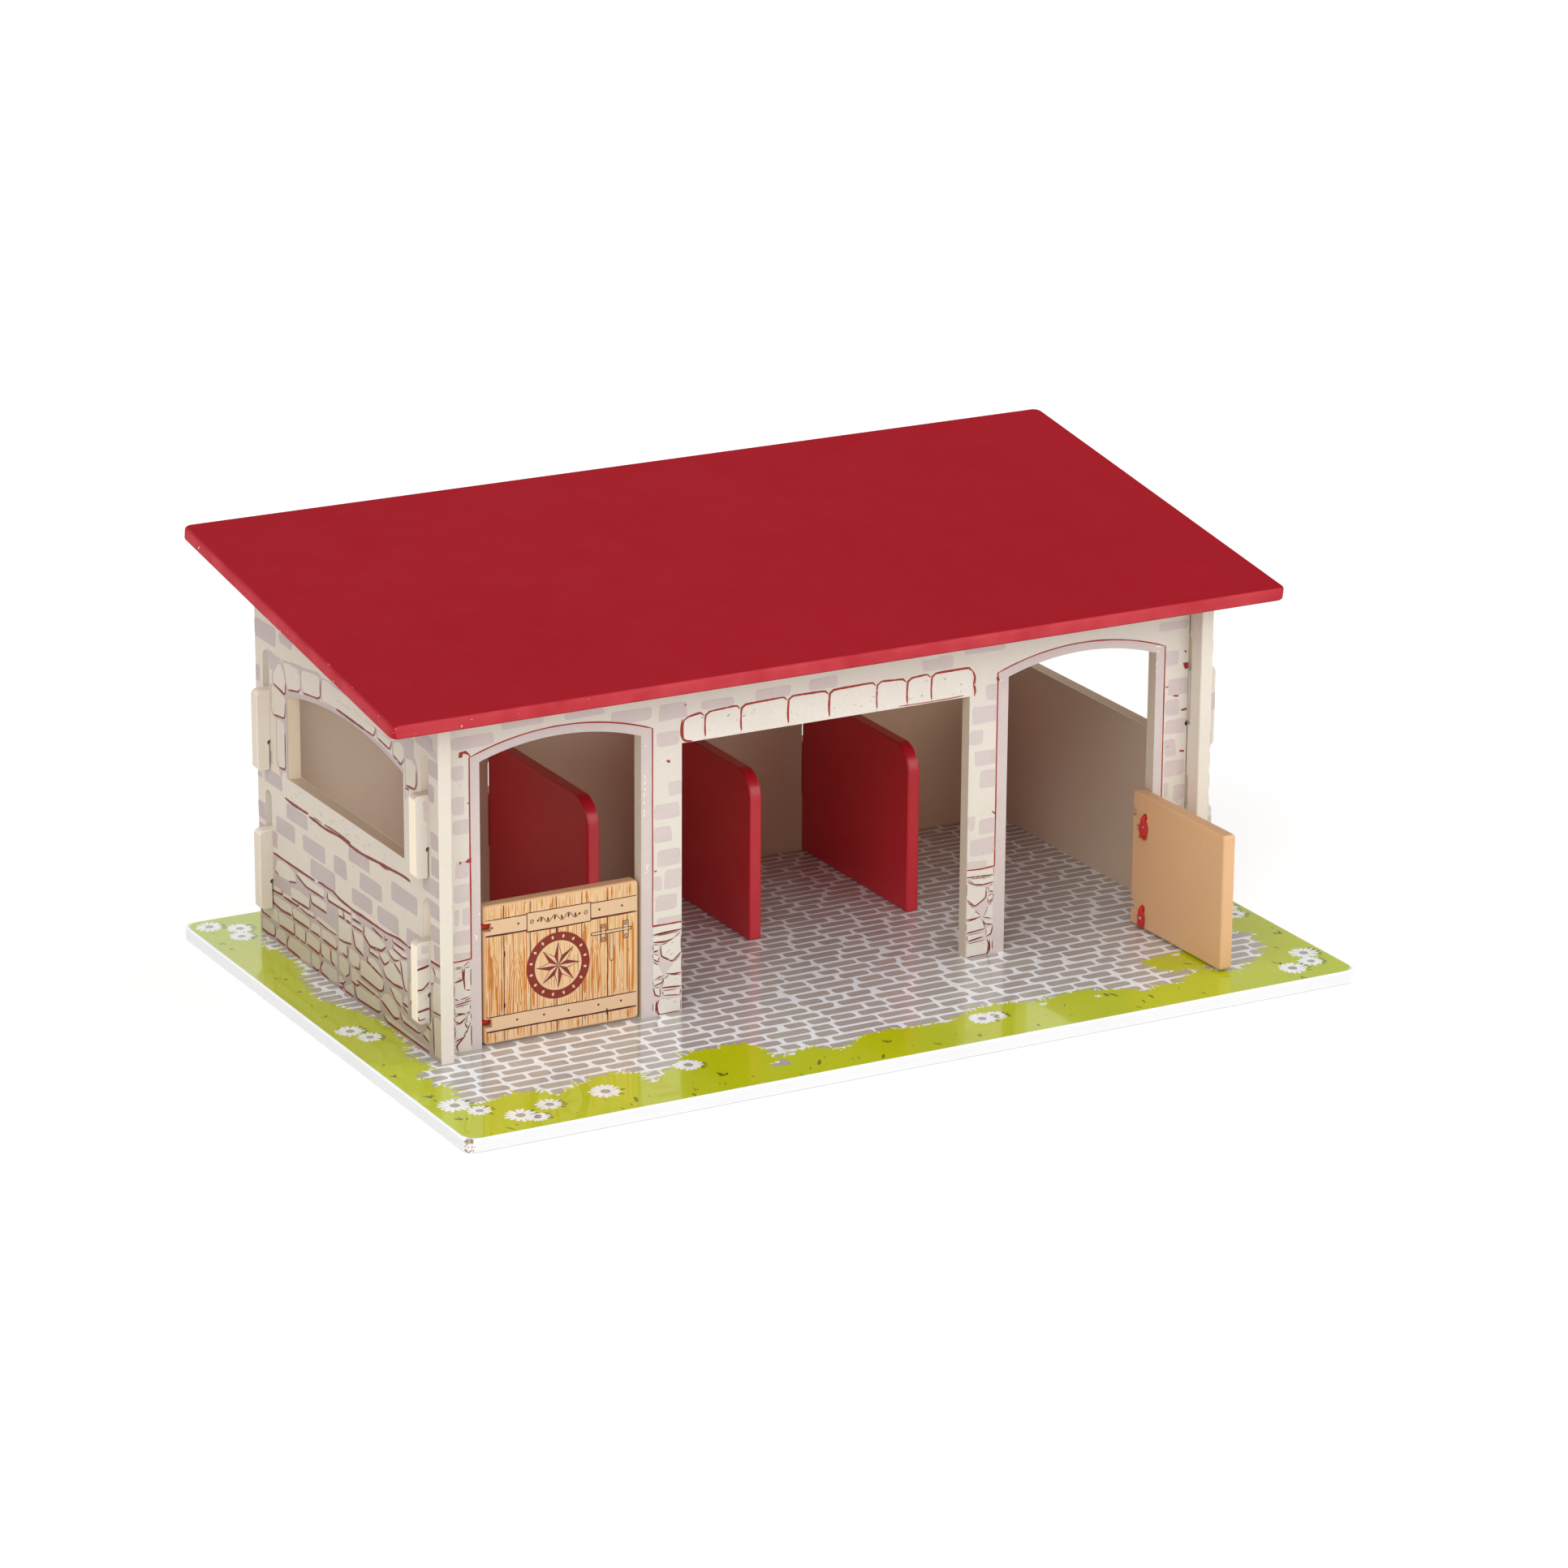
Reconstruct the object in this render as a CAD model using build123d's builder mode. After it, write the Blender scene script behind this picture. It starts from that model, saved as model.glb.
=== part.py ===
from build123d import *
import math
import os

os.makedirs("parts", exist_ok=True)

# Toy stable barn, cut from 6 mm boards that hook into each other.
# Frame: origin at the centre of the base board's underside, +X to the right
# seen from the front, -Y towards the front, +Z up. All lengths in mm.

# ---------------------------------------------------------------- dimensions
board = 6.0                      # every board
base_length = 424.0              # along X
base_depth = 286.0               # along Y
base_corner = 5.0                # plan radius of the base corners
floor_z = board                  # top of the base, where the walls stand

wall_out_x = 185.0               # outer face of a side wall
wall_in_x = wall_out_x - board   # inner face of a side wall
wall_front_y = -63.0             # front edge of a side wall
wall_back_y = 119.0              # back edge of a side wall

front_wall_y = -53.5             # front face of the front wall
back_wall_y = 104.5              # front (inner) face of the back wall
end_gap = 0.3                    # end of a cross wall to the side wall

roof_front_y = -78.35            # front top edge of the roof
roof_front_z = 159.5
roof_slope = 8.31                # degrees
roof_run = 211.8                 # length of the roof measured up the slope
roof_corner = 4.0

doorway_in_x = 88.0              # jamb nearer the middle
doorway_out_x = 162.0            # jamb that carries the hinges
arch_spring_z = 130.5
arch_top_z = 136.7
middle_half = 69.0               # half width of the middle opening
middle_top_z = 124.5

window_y0, window_y1 = -29.8, 86.2
window_sill_z = 85.2
window_spring_z = 122.2
window_top_z = 129.2

slot_width = 6.6                 # slots that take the hook tabs
wide_slot = (-55.4, -47.2)       # front slots of the right wall, front and back edge
slot_zs = (32.8, 95.9)           # slot bottoms
slot_height = 41.2
tab_drop = 11.8                  # how far a hook hangs below its slot
tab_neck = 24.1                  # height of the neck in the slot
tab_reach = 5.6                  # thickness of the hook outside the wall
tab_gap = 0.6                    # hook to the wall's outer face
right_tab_reach = 6.2            # the same at the right ends of the cross walls,
right_tab_gap = 1.9              # where the hooks stand out further

partition_xs = (-78.5, 0.0, 78.5)
partition_front_y = 9.0
partition_top_z = 82.0
partition_corner = 12.0

partition_gap = 0.1              # partition to the back wall

tenon_depth = 5.5
tenon_gap = 0.15

door_width = 71.5
door_height = 61.0
door_bottom_z = floor_z + 0.8
door_edge = 1.1                  # rounding of the door's edges
pivot_inset = 3.6                # hinge line from the jamb
pivot_edge = 2.4                 # hinge line from the door's edge
notch_depth = 3.4
notch_height = 3.6
notch_from_end = 9.5             # notch centre from the door's top and bottom
right_door_open = 91.0           # degrees, as it stands

cord_r = 1.2
cord_bore_r = 1.5
cord_run = 10.3                  # cord outlet from the door's hinge edge
wall_cord_run = 7.0              # cord outlet from the jamb
cord_tail = 7.0                  # from the outlet's centre to the tail's centre
cord_tail_r = 2.2
tail_thick = 1.3                 # the tail is pressed flat under its tack
tack_drop = 4.2                  # tack below the cord's outlet

batten = 8.0                     # square section of the roof battens
batten_y0, batten_y1 = -46.8, 103.8
batten_out_x = 178.4
screw_ys = (-25.0, 28.5, 82.0)

# ------------------------------------------------------------ derived values
slope = math.radians(roof_slope)


def under_z(y):
    """Height of the roof's underside at y."""
    return roof_front_z + (y - roof_front_y) * math.tan(slope) - board / math.cos(slope)


door_mid_z = door_bottom_z + door_height / 2
hinge_zs = (door_bottom_z + notch_from_end, door_bottom_z + door_height - notch_from_end)
pivot_x = doorway_out_x - pivot_inset
pivot_y = front_wall_y + board / 2
wall_end_x = wall_in_x - end_gap
front_wall_top_z = under_z(front_wall_y) - 0.5
back_wall_top_z = under_z(back_wall_y) - 0.5
front_slot_y = front_wall_y + board / 2
back_slot_y = back_wall_y + board / 2
front_tenons = [(-170.5, 9.0), (-78.5, 11.0), (78.5, 11.0), (170.5, 9.0)]   # x, width
back_tenons = [(-120.0, 24.0), (0.0, 24.0), (120.0, 24.0)]
side_tenons = [(-20.0, 24.0), (76.0, 24.0)]                                # y, width

# ----------------------------------------------------------------- base board
with BuildPart() as base_board:
    with BuildSketch(Plane.XY):
        RectangleRounded(base_length, base_depth, base_corner)
    extrude(amount=board)
    # sockets for the tenons under each wall
    with BuildSketch(Plane.XY):
        for x, w in front_tenons:
            with Locations((x, front_slot_y)):
                Rectangle(w + 2 * tenon_gap, board + 2 * tenon_gap)
        for x, w in back_tenons:
            with Locations((x, back_slot_y)):
                Rectangle(w + 2 * tenon_gap, board + 2 * tenon_gap)
        for y, w in side_tenons:
            for side in (-1, 1):
                with Locations((side * (wall_out_x - board / 2), y)):
                    Rectangle(board + 2 * tenon_gap, w + 2 * tenon_gap)
    extrude(amount=board, mode=Mode.SUBTRACT)
    outline = base_board.edges().filter_by(Plane.XY).group_by(Axis.Z)
    fillet([e for e in outline[-1] if e.length > 100 or e.geom_type == GeomType.CIRCLE], 0.7)
    outline = base_board.edges().filter_by(Plane.XY).group_by(Axis.Z)
    chamfer([e for e in outline[0] if e.length > 100 or e.geom_type == GeomType.CIRCLE], 0.4)
base_board.part.label = "base_board"
export_step(base_board.part, "parts/base_board.step")


# ------------------------------------------------------------------ side walls
def side_wall_profile(plane, front_slot):
    """Outline of a side wall in the Y-Z plane, with its window and hook slots."""
    with BuildSketch(plane) as profile:
        with BuildLine():
            Polyline(
                (wall_front_y, floor_z),
                (wall_back_y, floor_z),
                (wall_back_y, under_z(wall_back_y) - 0.05),
                (wall_front_y, under_z(wall_front_y) - 0.05),
                close=True,
            )
        make_face()
        for y, w in side_tenons:
            with Locations((y, floor_z - tenon_depth / 2)):
                Rectangle(w, tenon_depth)
        with BuildLine():
            Polyline(
                (window_y1, window_spring_z),
                (window_y1, window_sill_z),
                (window_y0, window_sill_z),
                (window_y0, window_spring_z),
            )
            ThreePointArc(
                (window_y0, window_spring_z),
                ((window_y0 + window_y1) / 2, window_top_z),
                (window_y1, window_spring_z),
            )
        make_face(mode=Mode.SUBTRACT)
        for y, w in (front_slot, (back_slot_y, slot_width)):
            for z in slot_zs:
                straight = slot_height - w / 2
                with Locations((y, z + straight / 2)):
                    Rectangle(w, straight, mode=Mode.SUBTRACT)
                with Locations((y, z + straight)):
                    Circle(w / 2, mode=Mode.SUBTRACT)
    return profile.sketch


def soft_side_edges(part):
    """Long outer edges of a side wall that a hand meets: front, back and window."""
    picked = []
    for e in part.edges():
        c = e.center()
        along_z = abs(e.tangent_at(0.5).Z) > 0.99
        outer = abs(c.Y - wall_front_y) < 0.01 or abs(c.Y - wall_back_y) < 0.01
        if along_z and outer and e.length > 50:
            picked.append(e)
    return picked


with BuildPart() as left_wall:
    extrude(side_wall_profile(Plane.YZ.offset(-wall_out_x), (front_slot_y, slot_width)), amount=board)
    fillet(soft_side_edges(left_wall), 0.6)
left_wall.part.label = "left_wall"
export_step(left_wall.part, "parts/left_wall.step")

with BuildPart() as right_wall:
    extrude(side_wall_profile(Plane.YZ.offset(wall_in_x),
                              ((wide_slot[0] + wide_slot[1]) / 2, wide_slot[1] - wide_slot[0])), amount=board)
    fillet(soft_side_edges(right_wall), 0.6)
right_wall.part.label = "right_wall"
export_step(right_wall.part, "parts/right_wall.step")


# ------------------------------------------------------------------ cross walls
def hook_size(side):
    """Gap between a hook and the side wall, and the hook's thickness."""
    return (right_tab_gap, right_tab_reach) if side > 0 else (tab_gap, tab_reach)


def hook_tabs():
    """Hook tabs at both ends of a cross wall, in the X-Z plane."""
    for side in (-1, 1):
        gap, reach = hook_size(side)
        for z in slot_zs:
            neck0, neck1 = wall_end_x - 2.0, wall_out_x + gap
            with Locations((side * (neck0 + neck1) / 2, z + 0.1 + tab_neck / 2)):
                Rectangle(neck1 - neck0, tab_neck)
            top = z + 0.1 + tab_neck
            low = z - tab_drop
            with Locations((side * (neck1 + reach / 2), (top + low) / 2)):
                Rectangle(reach, top - low)
            # reliefs where the neck meets its hook, and where it meets the wall's end
            with Locations((side * (neck1 - min(gap, 1.1) / 2), z + 0.7)):
                Circle(1.1, mode=Mode.SUBTRACT)
            with Locations((side * wall_end_x, z + 0.4)):
                Circle(1.2, mode=Mode.SUBTRACT)


def tab_corner_edges(part):
    """Edges across the board at the four outer corners of each hook."""
    outs = [side * (wall_out_x + sum(hook_size(side))) for side in (-1, 1)]
    return [e for e in part.edges()
            if min(abs(e.center().X - out) for out in outs) < 0.01 and abs(e.tangent_at(0.5).Y) > 0.99]


def tab_face_edges(part):
    """Edges round the outer end of each hook, after its corners are rounded."""
    return [e for e in part.edges()
            if (e.center().X > wall_out_x + right_tab_gap + 0.3
                or -e.center().X > wall_out_x + tab_gap + 0.3) and abs(e.tangent_at(0.5).Y) < 0.01]


with BuildPart() as front_wall:
    with BuildSketch(Plane.XZ.offset(-front_wall_y - board)):
        with Locations((0, (floor_z + front_wall_top_z) / 2)):
            Rectangle(2 * wall_end_x, front_wall_top_z - floor_z)
        for x, w in front_tenons:
            with Locations((x, floor_z - tenon_depth / 2)):
                Rectangle(w, tenon_depth)
        for side in (-1, 1):
            x0, x1 = side * doorway_in_x, side * doorway_out_x
            with BuildLine():
                Polyline((x1, arch_spring_z), (x1, floor_z - 1), (x0, floor_z - 1), (x0, arch_spring_z))
                ThreePointArc((x0, arch_spring_z), ((x0 + x1) / 2, arch_top_z), (x1, arch_spring_z))
            make_face(mode=Mode.SUBTRACT)
        with Locations((0, (floor_z - 1 + middle_top_z) / 2)):
            Rectangle(2 * middle_half, middle_top_z - floor_z + 1, mode=Mode.SUBTRACT)
        hook_tabs()
    extrude(amount=board)
    # bores for the hinge cords: in from the jamb, then out through the back
    for side in (-1, 1):
        for z in hinge_zs:
            with BuildSketch(Plane.YZ.offset(side * doorway_out_x)):
                with Locations((pivot_y, z)):
                    Circle(cord_bore_r)
            extrude(amount=side * wall_cord_run, mode=Mode.SUBTRACT)
            with BuildSketch(Plane.XZ.offset(-front_wall_y - board)):
                with Locations((side * (doorway_out_x + wall_cord_run), z)):
                    Circle(cord_bore_r)
            extrude(amount=board / 2 + cord_bore_r, mode=Mode.SUBTRACT)
    fillet(tab_corner_edges(front_wall), 2.4)
    fillet(tab_face_edges(front_wall), 0.7)
front_wall.part.label = "front_wall"
export_step(front_wall.part, "parts/front_wall.step")

with BuildPart() as back_wall:
    with BuildSketch(Plane.XZ.offset(-back_wall_y - board)):
        with Locations((0, (floor_z + back_wall_top_z) / 2)):
            Rectangle(2 * wall_end_x, back_wall_top_z - floor_z)
        for x, w in back_tenons:
            with Locations((x, floor_z - tenon_depth / 2)):
                Rectangle(w, tenon_depth)
        hook_tabs()
        # one slot for each partition
        for x in partition_xs:
            straight = slot_height - slot_width / 2
            with Locations((x, slot_zs[0] + straight / 2)):
                Rectangle(slot_width, straight, mode=Mode.SUBTRACT)
            with Locations((x, slot_zs[0] + straight)):
                Circle(slot_width / 2, mode=Mode.SUBTRACT)
    extrude(amount=board)
    fillet(tab_corner_edges(back_wall), 2.4)
    fillet(tab_face_edges(back_wall), 0.7)
back_wall.part.label = "back_wall"
export_step(back_wall.part, "parts/back_wall.step")


# ------------------------------------------------------------------- partitions
def partition_sketch():
    """Outline of a stall partition in the Y-Z plane, with one hook at its back."""
    back = back_wall_y - partition_gap
    z = slot_zs[0]
    with Locations(((partition_front_y + back) / 2, (floor_z + partition_top_z) / 2)):
        Rectangle(back - partition_front_y, partition_top_z - floor_z)
    neck1 = back_wall_y + board + tab_gap
    with Locations(((back - 2.0 + neck1) / 2, z + 0.1 + tab_neck / 2)):
        Rectangle(neck1 - back + 2.0, tab_neck)
    top, low = z + 0.1 + tab_neck, z - tab_drop
    with Locations((neck1 + tab_reach / 2, (top + low) / 2)):
        Rectangle(tab_reach, top - low)
    with Locations((back_wall_y + board + tab_gap / 2, z + 0.7)):
        Circle(1.1, mode=Mode.SUBTRACT)


def round_partition(part):
    """Round the front top corner, the hook's corners and every free arris."""
    out = back_wall_y + board + tab_gap + tab_reach
    corner = [e for e in part.edges()
              if abs(e.center().Y - partition_front_y) < 0.01
              and abs(e.center().Z - partition_top_z) < 0.01
              and abs(e.tangent_at(0.5).X) > 0.99]
    fillet(corner, partition_corner)
    fillet([e for e in part.edges()
            if abs(e.center().Y - out) < 0.01 and abs(e.tangent_at(0.5).X) > 0.99], 2.4)
    fillet([e for e in part.edges()
            if abs(e.center().Y - partition_front_y) < 0.01
            and abs(e.center().Z - floor_z) < 0.01
            and abs(e.tangent_at(0.5).X) > 0.99], 1.2)
    fillet([e for e in part.edges()
            if abs(e.tangent_at(0.5).X) < 0.01
            and (e.center().Y < partition_front_y + partition_corner
                 or e.center().Y > out - tab_reach + 0.3
                 or (abs(e.center().Z - partition_top_z) < 0.01))], 1.0)


with BuildPart() as left_partition:
    with BuildSketch(Plane.YZ.offset(partition_xs[0] - board / 2)):
        partition_sketch()
    extrude(amount=board)
    round_partition(left_partition)
left_partition.part.label = "left_partition"
export_step(left_partition.part, "parts/left_partition.step")

with BuildPart() as middle_partition:
    with BuildSketch(Plane.YZ.offset(partition_xs[1] - board / 2)):
        partition_sketch()
    extrude(amount=board)
    round_partition(middle_partition)
middle_partition.part.label = "middle_partition"
export_step(middle_partition.part, "parts/middle_partition.step")

with BuildPart() as right_partition:
    with BuildSketch(Plane.YZ.offset(partition_xs[2] - board / 2)):
        partition_sketch()
    extrude(amount=board)
    round_partition(right_partition)
right_partition.part.label = "right_partition"
export_step(right_partition.part, "parts/right_partition.step")

# ------------------------------------------------------------------------ roof
# Local frame on the roof's top face: X across, Y up the slope, Z out of it.
roof_plane = Plane(
    origin=(0, roof_front_y, roof_front_z),
    x_dir=(1, 0, 0),
    z_dir=(0, -math.sin(slope), math.cos(slope)),
)
pilot_r, pilot_depth = 1.1, 4.6


def up_slope(y):
    """Distance up the slope, on the roof's local Y, of the square foot from (y, under_z(y))."""
    p = roof_plane.to_local_coords(Vector(0, y, under_z(y)))
    return p.Y


with BuildPart() as roof_panel:
    with BuildSketch(roof_plane):
        with Locations((0, roof_run / 2)):
            RectangleRounded(base_length, roof_run, roof_corner)
    extrude(amount=-board)
    # pilot holes for the batten screws, from below
    with BuildSketch(roof_plane.offset(-board)):
        for side in (-1, 1):
            with Locations(*[(side * (batten_out_x - batten / 2), up_slope(y)) for y in screw_ys]):
                Circle(pilot_r)
    extrude(amount=pilot_depth, mode=Mode.SUBTRACT)
    rim = [e for e in roof_panel.edges()
           if e.length > 3
           and abs(e.tangent_at(0.5).dot(roof_plane.z_dir)) < 0.01
           and not (e.geom_type == GeomType.CIRCLE and e.radius < 2)]
    fillet(rim, 1.4)
roof_panel.part.label = "roof_panel"
export_step(roof_panel.part, "parts/roof_panel.step")


def batten_profile(plane):
    """Side view of a roof batten: it follows the roof, with upright ends."""
    with BuildSketch(plane) as profile:
        with BuildLine():
            Polyline(
                (batten_y0, under_z(batten_y0)),
                (batten_y1, under_z(batten_y1)),
                (batten_y1, under_z(batten_y1) - batten),
                (batten_y0, under_z(batten_y0) - batten),
                close=True,
            )
        make_face()
    return profile.sketch


down = (0, math.sin(slope), -math.cos(slope))
batten_thick = batten * math.cos(slope)      # square to the roof


def screw_planes(side):
    """Planes on a batten's lower face, looking out of it, one at each screw."""
    planes = []
    for y in screw_ys:
        top = Vector(side * (batten_out_x - batten / 2), y, under_z(y))
        planes.append(Plane(origin=top + Vector(*down) * batten_thick, x_dir=(1, 0, 0), z_dir=down))
    return planes


with BuildPart() as roof_batten_left:
    extrude(batten_profile(Plane.YZ.offset(-batten_out_x)), amount=batten)
    with Locations(*[p.location for p in screw_planes(-1)]):
        CounterSinkHole(1.65, 3.1, depth=batten_thick + 1)
    chamfer([e for e in roof_batten_left.edges() if e.length > 120 and e.center().Z < under_z(e.center().Y) - 3], 0.6)
roof_batten_left.part.label = "roof_batten_left"
export_step(roof_batten_left.part, "parts/roof_batten_left.step")

with BuildPart() as roof_batten_right:
    extrude(batten_profile(Plane.YZ.offset(batten_out_x - batten)), amount=batten)
    with Locations(*[p.location for p in screw_planes(1)]):
        CounterSinkHole(1.65, 3.1, depth=batten_thick + 1)
    chamfer([e for e in roof_batten_right.edges() if e.length > 120 and e.center().Z < under_z(e.center().Y) - 3], 0.6)
roof_batten_right.part.label = "roof_batten_right"
export_step(roof_batten_right.part, "parts/roof_batten_right.step")

# Countersunk screws, 12 mm long, heads just under the batten's lower face.
with BuildPart() as roof_batten_screws:
    for side in (-1, 1):
        for p in screw_planes(side):
            half = Plane(origin=p.origin, x_dir=(1, 0, 0), z_dir=p.x_dir.cross(p.z_dir) * -1)
            up = half.to_local_coords(p.origin - p.z_dir).Y
            s = 1 if up > 0 else -1
            with BuildSketch(half) as screw_profile:
                with BuildLine():
                    Polyline(
                        (0, s * 0.4), (2.7, s * 0.4), (1.45, s * 1.85), (1.45, s * 11.0),
                        (0, s * 12.2), close=True,
                    )
                make_face()
            revolve(axis=Axis(p.origin, p.z_dir))
    # cross recess in each head
    for side in (-1, 1):
        for p in screw_planes(side):
            with BuildSketch(p):
                Rectangle(2.8, 0.7)
                Rectangle(0.7, 2.8)
            extrude(amount=-1.3, mode=Mode.SUBTRACT)
roof_batten_screws.part.label = "roof_batten_screws"
export_step(roof_batten_screws.part, "parts/roof_batten_screws.step")

# ----------------------------------------------------------------------- doors
# Local frame of a door: origin on the hinge line at mid height, X towards the
# door's free edge, Z out of the printed front face. The board lies from
# -board/2 to board/2. Local Y is up on the left door and down on the right.
left_frame = Plane(origin=(-pivot_x, pivot_y, door_mid_z), x_dir=(1, 0, 0), z_dir=(0, -1, 0))
turn = math.radians(right_door_open)
right_frame = Plane(
    origin=(pivot_x, pivot_y, door_mid_z),
    x_dir=(-math.cos(turn), -math.sin(turn), 0),
    z_dir=(math.sin(turn), -math.cos(turn), 0),
)
door_x0 = -pivot_edge
door_x1 = door_width - pivot_edge
hinge_offset = door_height / 2 - notch_from_end


def door_blank():
    """Door board outline with its two hinge notches."""
    with Locations(((door_x0 + door_x1) / 2, 0)):
        RectangleRounded(door_width, door_height, 1.8)
    for y in (-hinge_offset, hinge_offset):
        with Locations((door_x0 + notch_depth / 2 - 1, y)):
            Rectangle(notch_depth + 2, notch_height, mode=Mode.SUBTRACT)


def door_rim(part, frame):
    """Edges round the two faces of a door, without those of its notches and bores."""
    rim = []
    for e in part.edges():
        c = frame.to_local_coords(e.center())
        on_face = abs(abs(c.Z) - board / 2) < 0.01
        on_outline = (
            c.X < door_x0 + 1.3 and min(abs(abs(c.Y) - hinge_offset), 99) > notch_height / 2 + 0.2
            or c.X > door_x1 - 1.3
            or abs(c.Y) > door_height / 2 - 1.3
        )
        if on_face and on_outline:
            rim.append(e)
    return rim


def door_bores(frame):
    """Cord bores: in from each notch, then out through the inner face."""
    for y in (-hinge_offset, hinge_offset):
        edge_plane = Plane(origin=frame.from_local_coords(Vector(door_x0 + notch_depth, y, 0)),
                           x_dir=frame.z_dir, z_dir=frame.x_dir)
        with BuildSketch(edge_plane) as inward:
            Circle(cord_bore_r)
        extrude(inward.sketch, amount=cord_run - notch_depth, mode=Mode.SUBTRACT)
        with BuildSketch(frame.offset(-board / 2)) as outward:
            with Locations((door_x0 + cord_run, y)):
                Circle(cord_bore_r)
        extrude(outward.sketch, amount=board / 2 + cord_bore_r, mode=Mode.SUBTRACT)


with BuildPart() as left_door:
    with BuildSketch(left_frame.offset(-board / 2)):
        door_blank()
    extrude(amount=board)
    fillet(door_rim(left_door, left_frame), door_edge)
    door_bores(left_frame)
left_door.part.label = "left_door"
export_step(left_door.part, "parts/left_door.step")

with BuildPart() as right_door:
    with BuildSketch(right_frame.offset(-board / 2)):
        door_blank()
    extrude(amount=board)
    fillet(door_rim(right_door, right_frame), door_edge)
    door_bores(right_frame)
right_door.part.label = "right_door"
export_step(right_door.part, "parts/right_door.step")


# ----------------------------------------------------------------- hinge cords
# Each hinge is one cord: one end is fixed behind the jamb, the other behind
# the door. It is held here as two solids, one on each side of the hinge line.
def wall_cord(side, z):
    """Wall end of a hinge cord, from the jamb to its tail on the wall's inner face."""
    inner = front_wall_y + board
    x = side * (doorway_out_x + wall_cord_run)
    with BuildPart() as cord:
        with BuildSketch(Plane.YZ.offset(side * (doorway_out_x - 0.3))):
            with Locations((pivot_y, z)):
                Circle(cord_r)
        extrude(amount=side * (wall_cord_run + 0.3))
        with BuildSketch(Plane.XZ.offset(-inner - tail_thick)):
            with Locations((x, z)):
                Circle(cord_r)
        extrude(amount=board / 2 + cord_r + tail_thick)
        # the frayed tail lies flat on the wall's inner face
        with BuildSketch(Plane(origin=(x, inner + 0.05, z), x_dir=(-1, 0, 0), z_dir=(0, 1, 0))):
            Circle(cord_r)
            with Locations((0, -cord_tail)):
                Circle(cord_tail_r)
            make_hull()
        extrude(amount=tail_thick)
    return cord


def door_cord(frame, y, up):
    """Door end of a hinge cord, from the notch to its tail on the door's inner face."""
    with BuildPart() as cord:
        start = door_x0 + notch_depth + 0.1
        run = Plane(origin=frame.from_local_coords(Vector(start, y, 0)),
                    x_dir=frame.z_dir, z_dir=frame.x_dir)
        with BuildSketch(run):
            Circle(cord_r)
        extrude(amount=door_x0 + cord_run - start)
        with BuildSketch(frame.offset(-board / 2 - tail_thick)):
            with Locations((door_x0 + cord_run, y)):
                Circle(cord_r)
        extrude(amount=board / 2 + cord_r + tail_thick)
        outlet = frame.from_local_coords(Vector(door_x0 + cord_run, y, -board / 2 - 0.05))
        face = Plane(origin=outlet, x_dir=frame.x_dir * up, z_dir=frame.z_dir * -1)
        face_up = face.y_dir.Z
        with BuildSketch(face):
            Circle(cord_r)
            with Locations((0, -cord_tail * (1 if face_up > 0 else -1))):
                Circle(cord_tail_r)
            make_hull()
        extrude(amount=tail_thick)
    return cord


low_z, high_z = hinge_zs

left_lower_cord_wall_end = wall_cord(-1, low_z)
left_lower_cord_wall_end.part.label = "left_lower_cord_wall_end"
export_step(left_lower_cord_wall_end.part, "parts/left_lower_cord_wall_end.step")

left_upper_cord_wall_end = wall_cord(-1, high_z)
left_upper_cord_wall_end.part.label = "left_upper_cord_wall_end"
export_step(left_upper_cord_wall_end.part, "parts/left_upper_cord_wall_end.step")

right_lower_cord_wall_end = wall_cord(1, low_z)
right_lower_cord_wall_end.part.label = "right_lower_cord_wall_end"
export_step(right_lower_cord_wall_end.part, "parts/right_lower_cord_wall_end.step")

right_upper_cord_wall_end = wall_cord(1, high_z)
right_upper_cord_wall_end.part.label = "right_upper_cord_wall_end"
export_step(right_upper_cord_wall_end.part, "parts/right_upper_cord_wall_end.step")

left_lower_cord_door_end = door_cord(left_frame, -hinge_offset, 1)
left_lower_cord_door_end.part.label = "left_lower_cord_door_end"
export_step(left_lower_cord_door_end.part, "parts/left_lower_cord_door_end.step")

left_upper_cord_door_end = door_cord(left_frame, hinge_offset, 1)
left_upper_cord_door_end.part.label = "left_upper_cord_door_end"
export_step(left_upper_cord_door_end.part, "parts/left_upper_cord_door_end.step")

right_lower_cord_door_end = door_cord(right_frame, hinge_offset, 1)
right_lower_cord_door_end.part.label = "right_lower_cord_door_end"
export_step(right_lower_cord_door_end.part, "parts/right_lower_cord_door_end.step")

right_upper_cord_door_end = door_cord(right_frame, -hinge_offset, 1)
right_upper_cord_door_end.part.label = "right_upper_cord_door_end"
export_step(right_upper_cord_door_end.part, "parts/right_upper_cord_door_end.step")


# ---------------------------------------------------------------------- tacks
# Round-headed tacks that pin the cords. Head outermost, shank into the board.
tack_head_r, tack_shank_r = 0.95, 0.45
tack_stand = tail_thick          # the head sits on the cord


def tack(plane):
    """One tack, standing on plane (the board's face), head along its normal."""
    with BuildSketch(plane.offset(-3.4)) as shank:
        Circle(tack_shank_r)
    extrude(shank.sketch, amount=3.4 + tack_stand + 0.1)
    with BuildSketch(plane.offset(tack_stand)) as head:
        Circle(tack_head_r)
    extrude(head.sketch, amount=0.5)


def round_tack_heads(part, planes):
    """Round over the outer rim of each tack's head."""
    rims = []
    for p in planes:
        rims += [e for e in part.edges()
                 if abs(p.to_local_coords(e.center()).Z - tack_stand - 0.5) < 0.01
                 and (e.center() - p.origin).length < 4]
    fillet(rims, 0.35)


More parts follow.
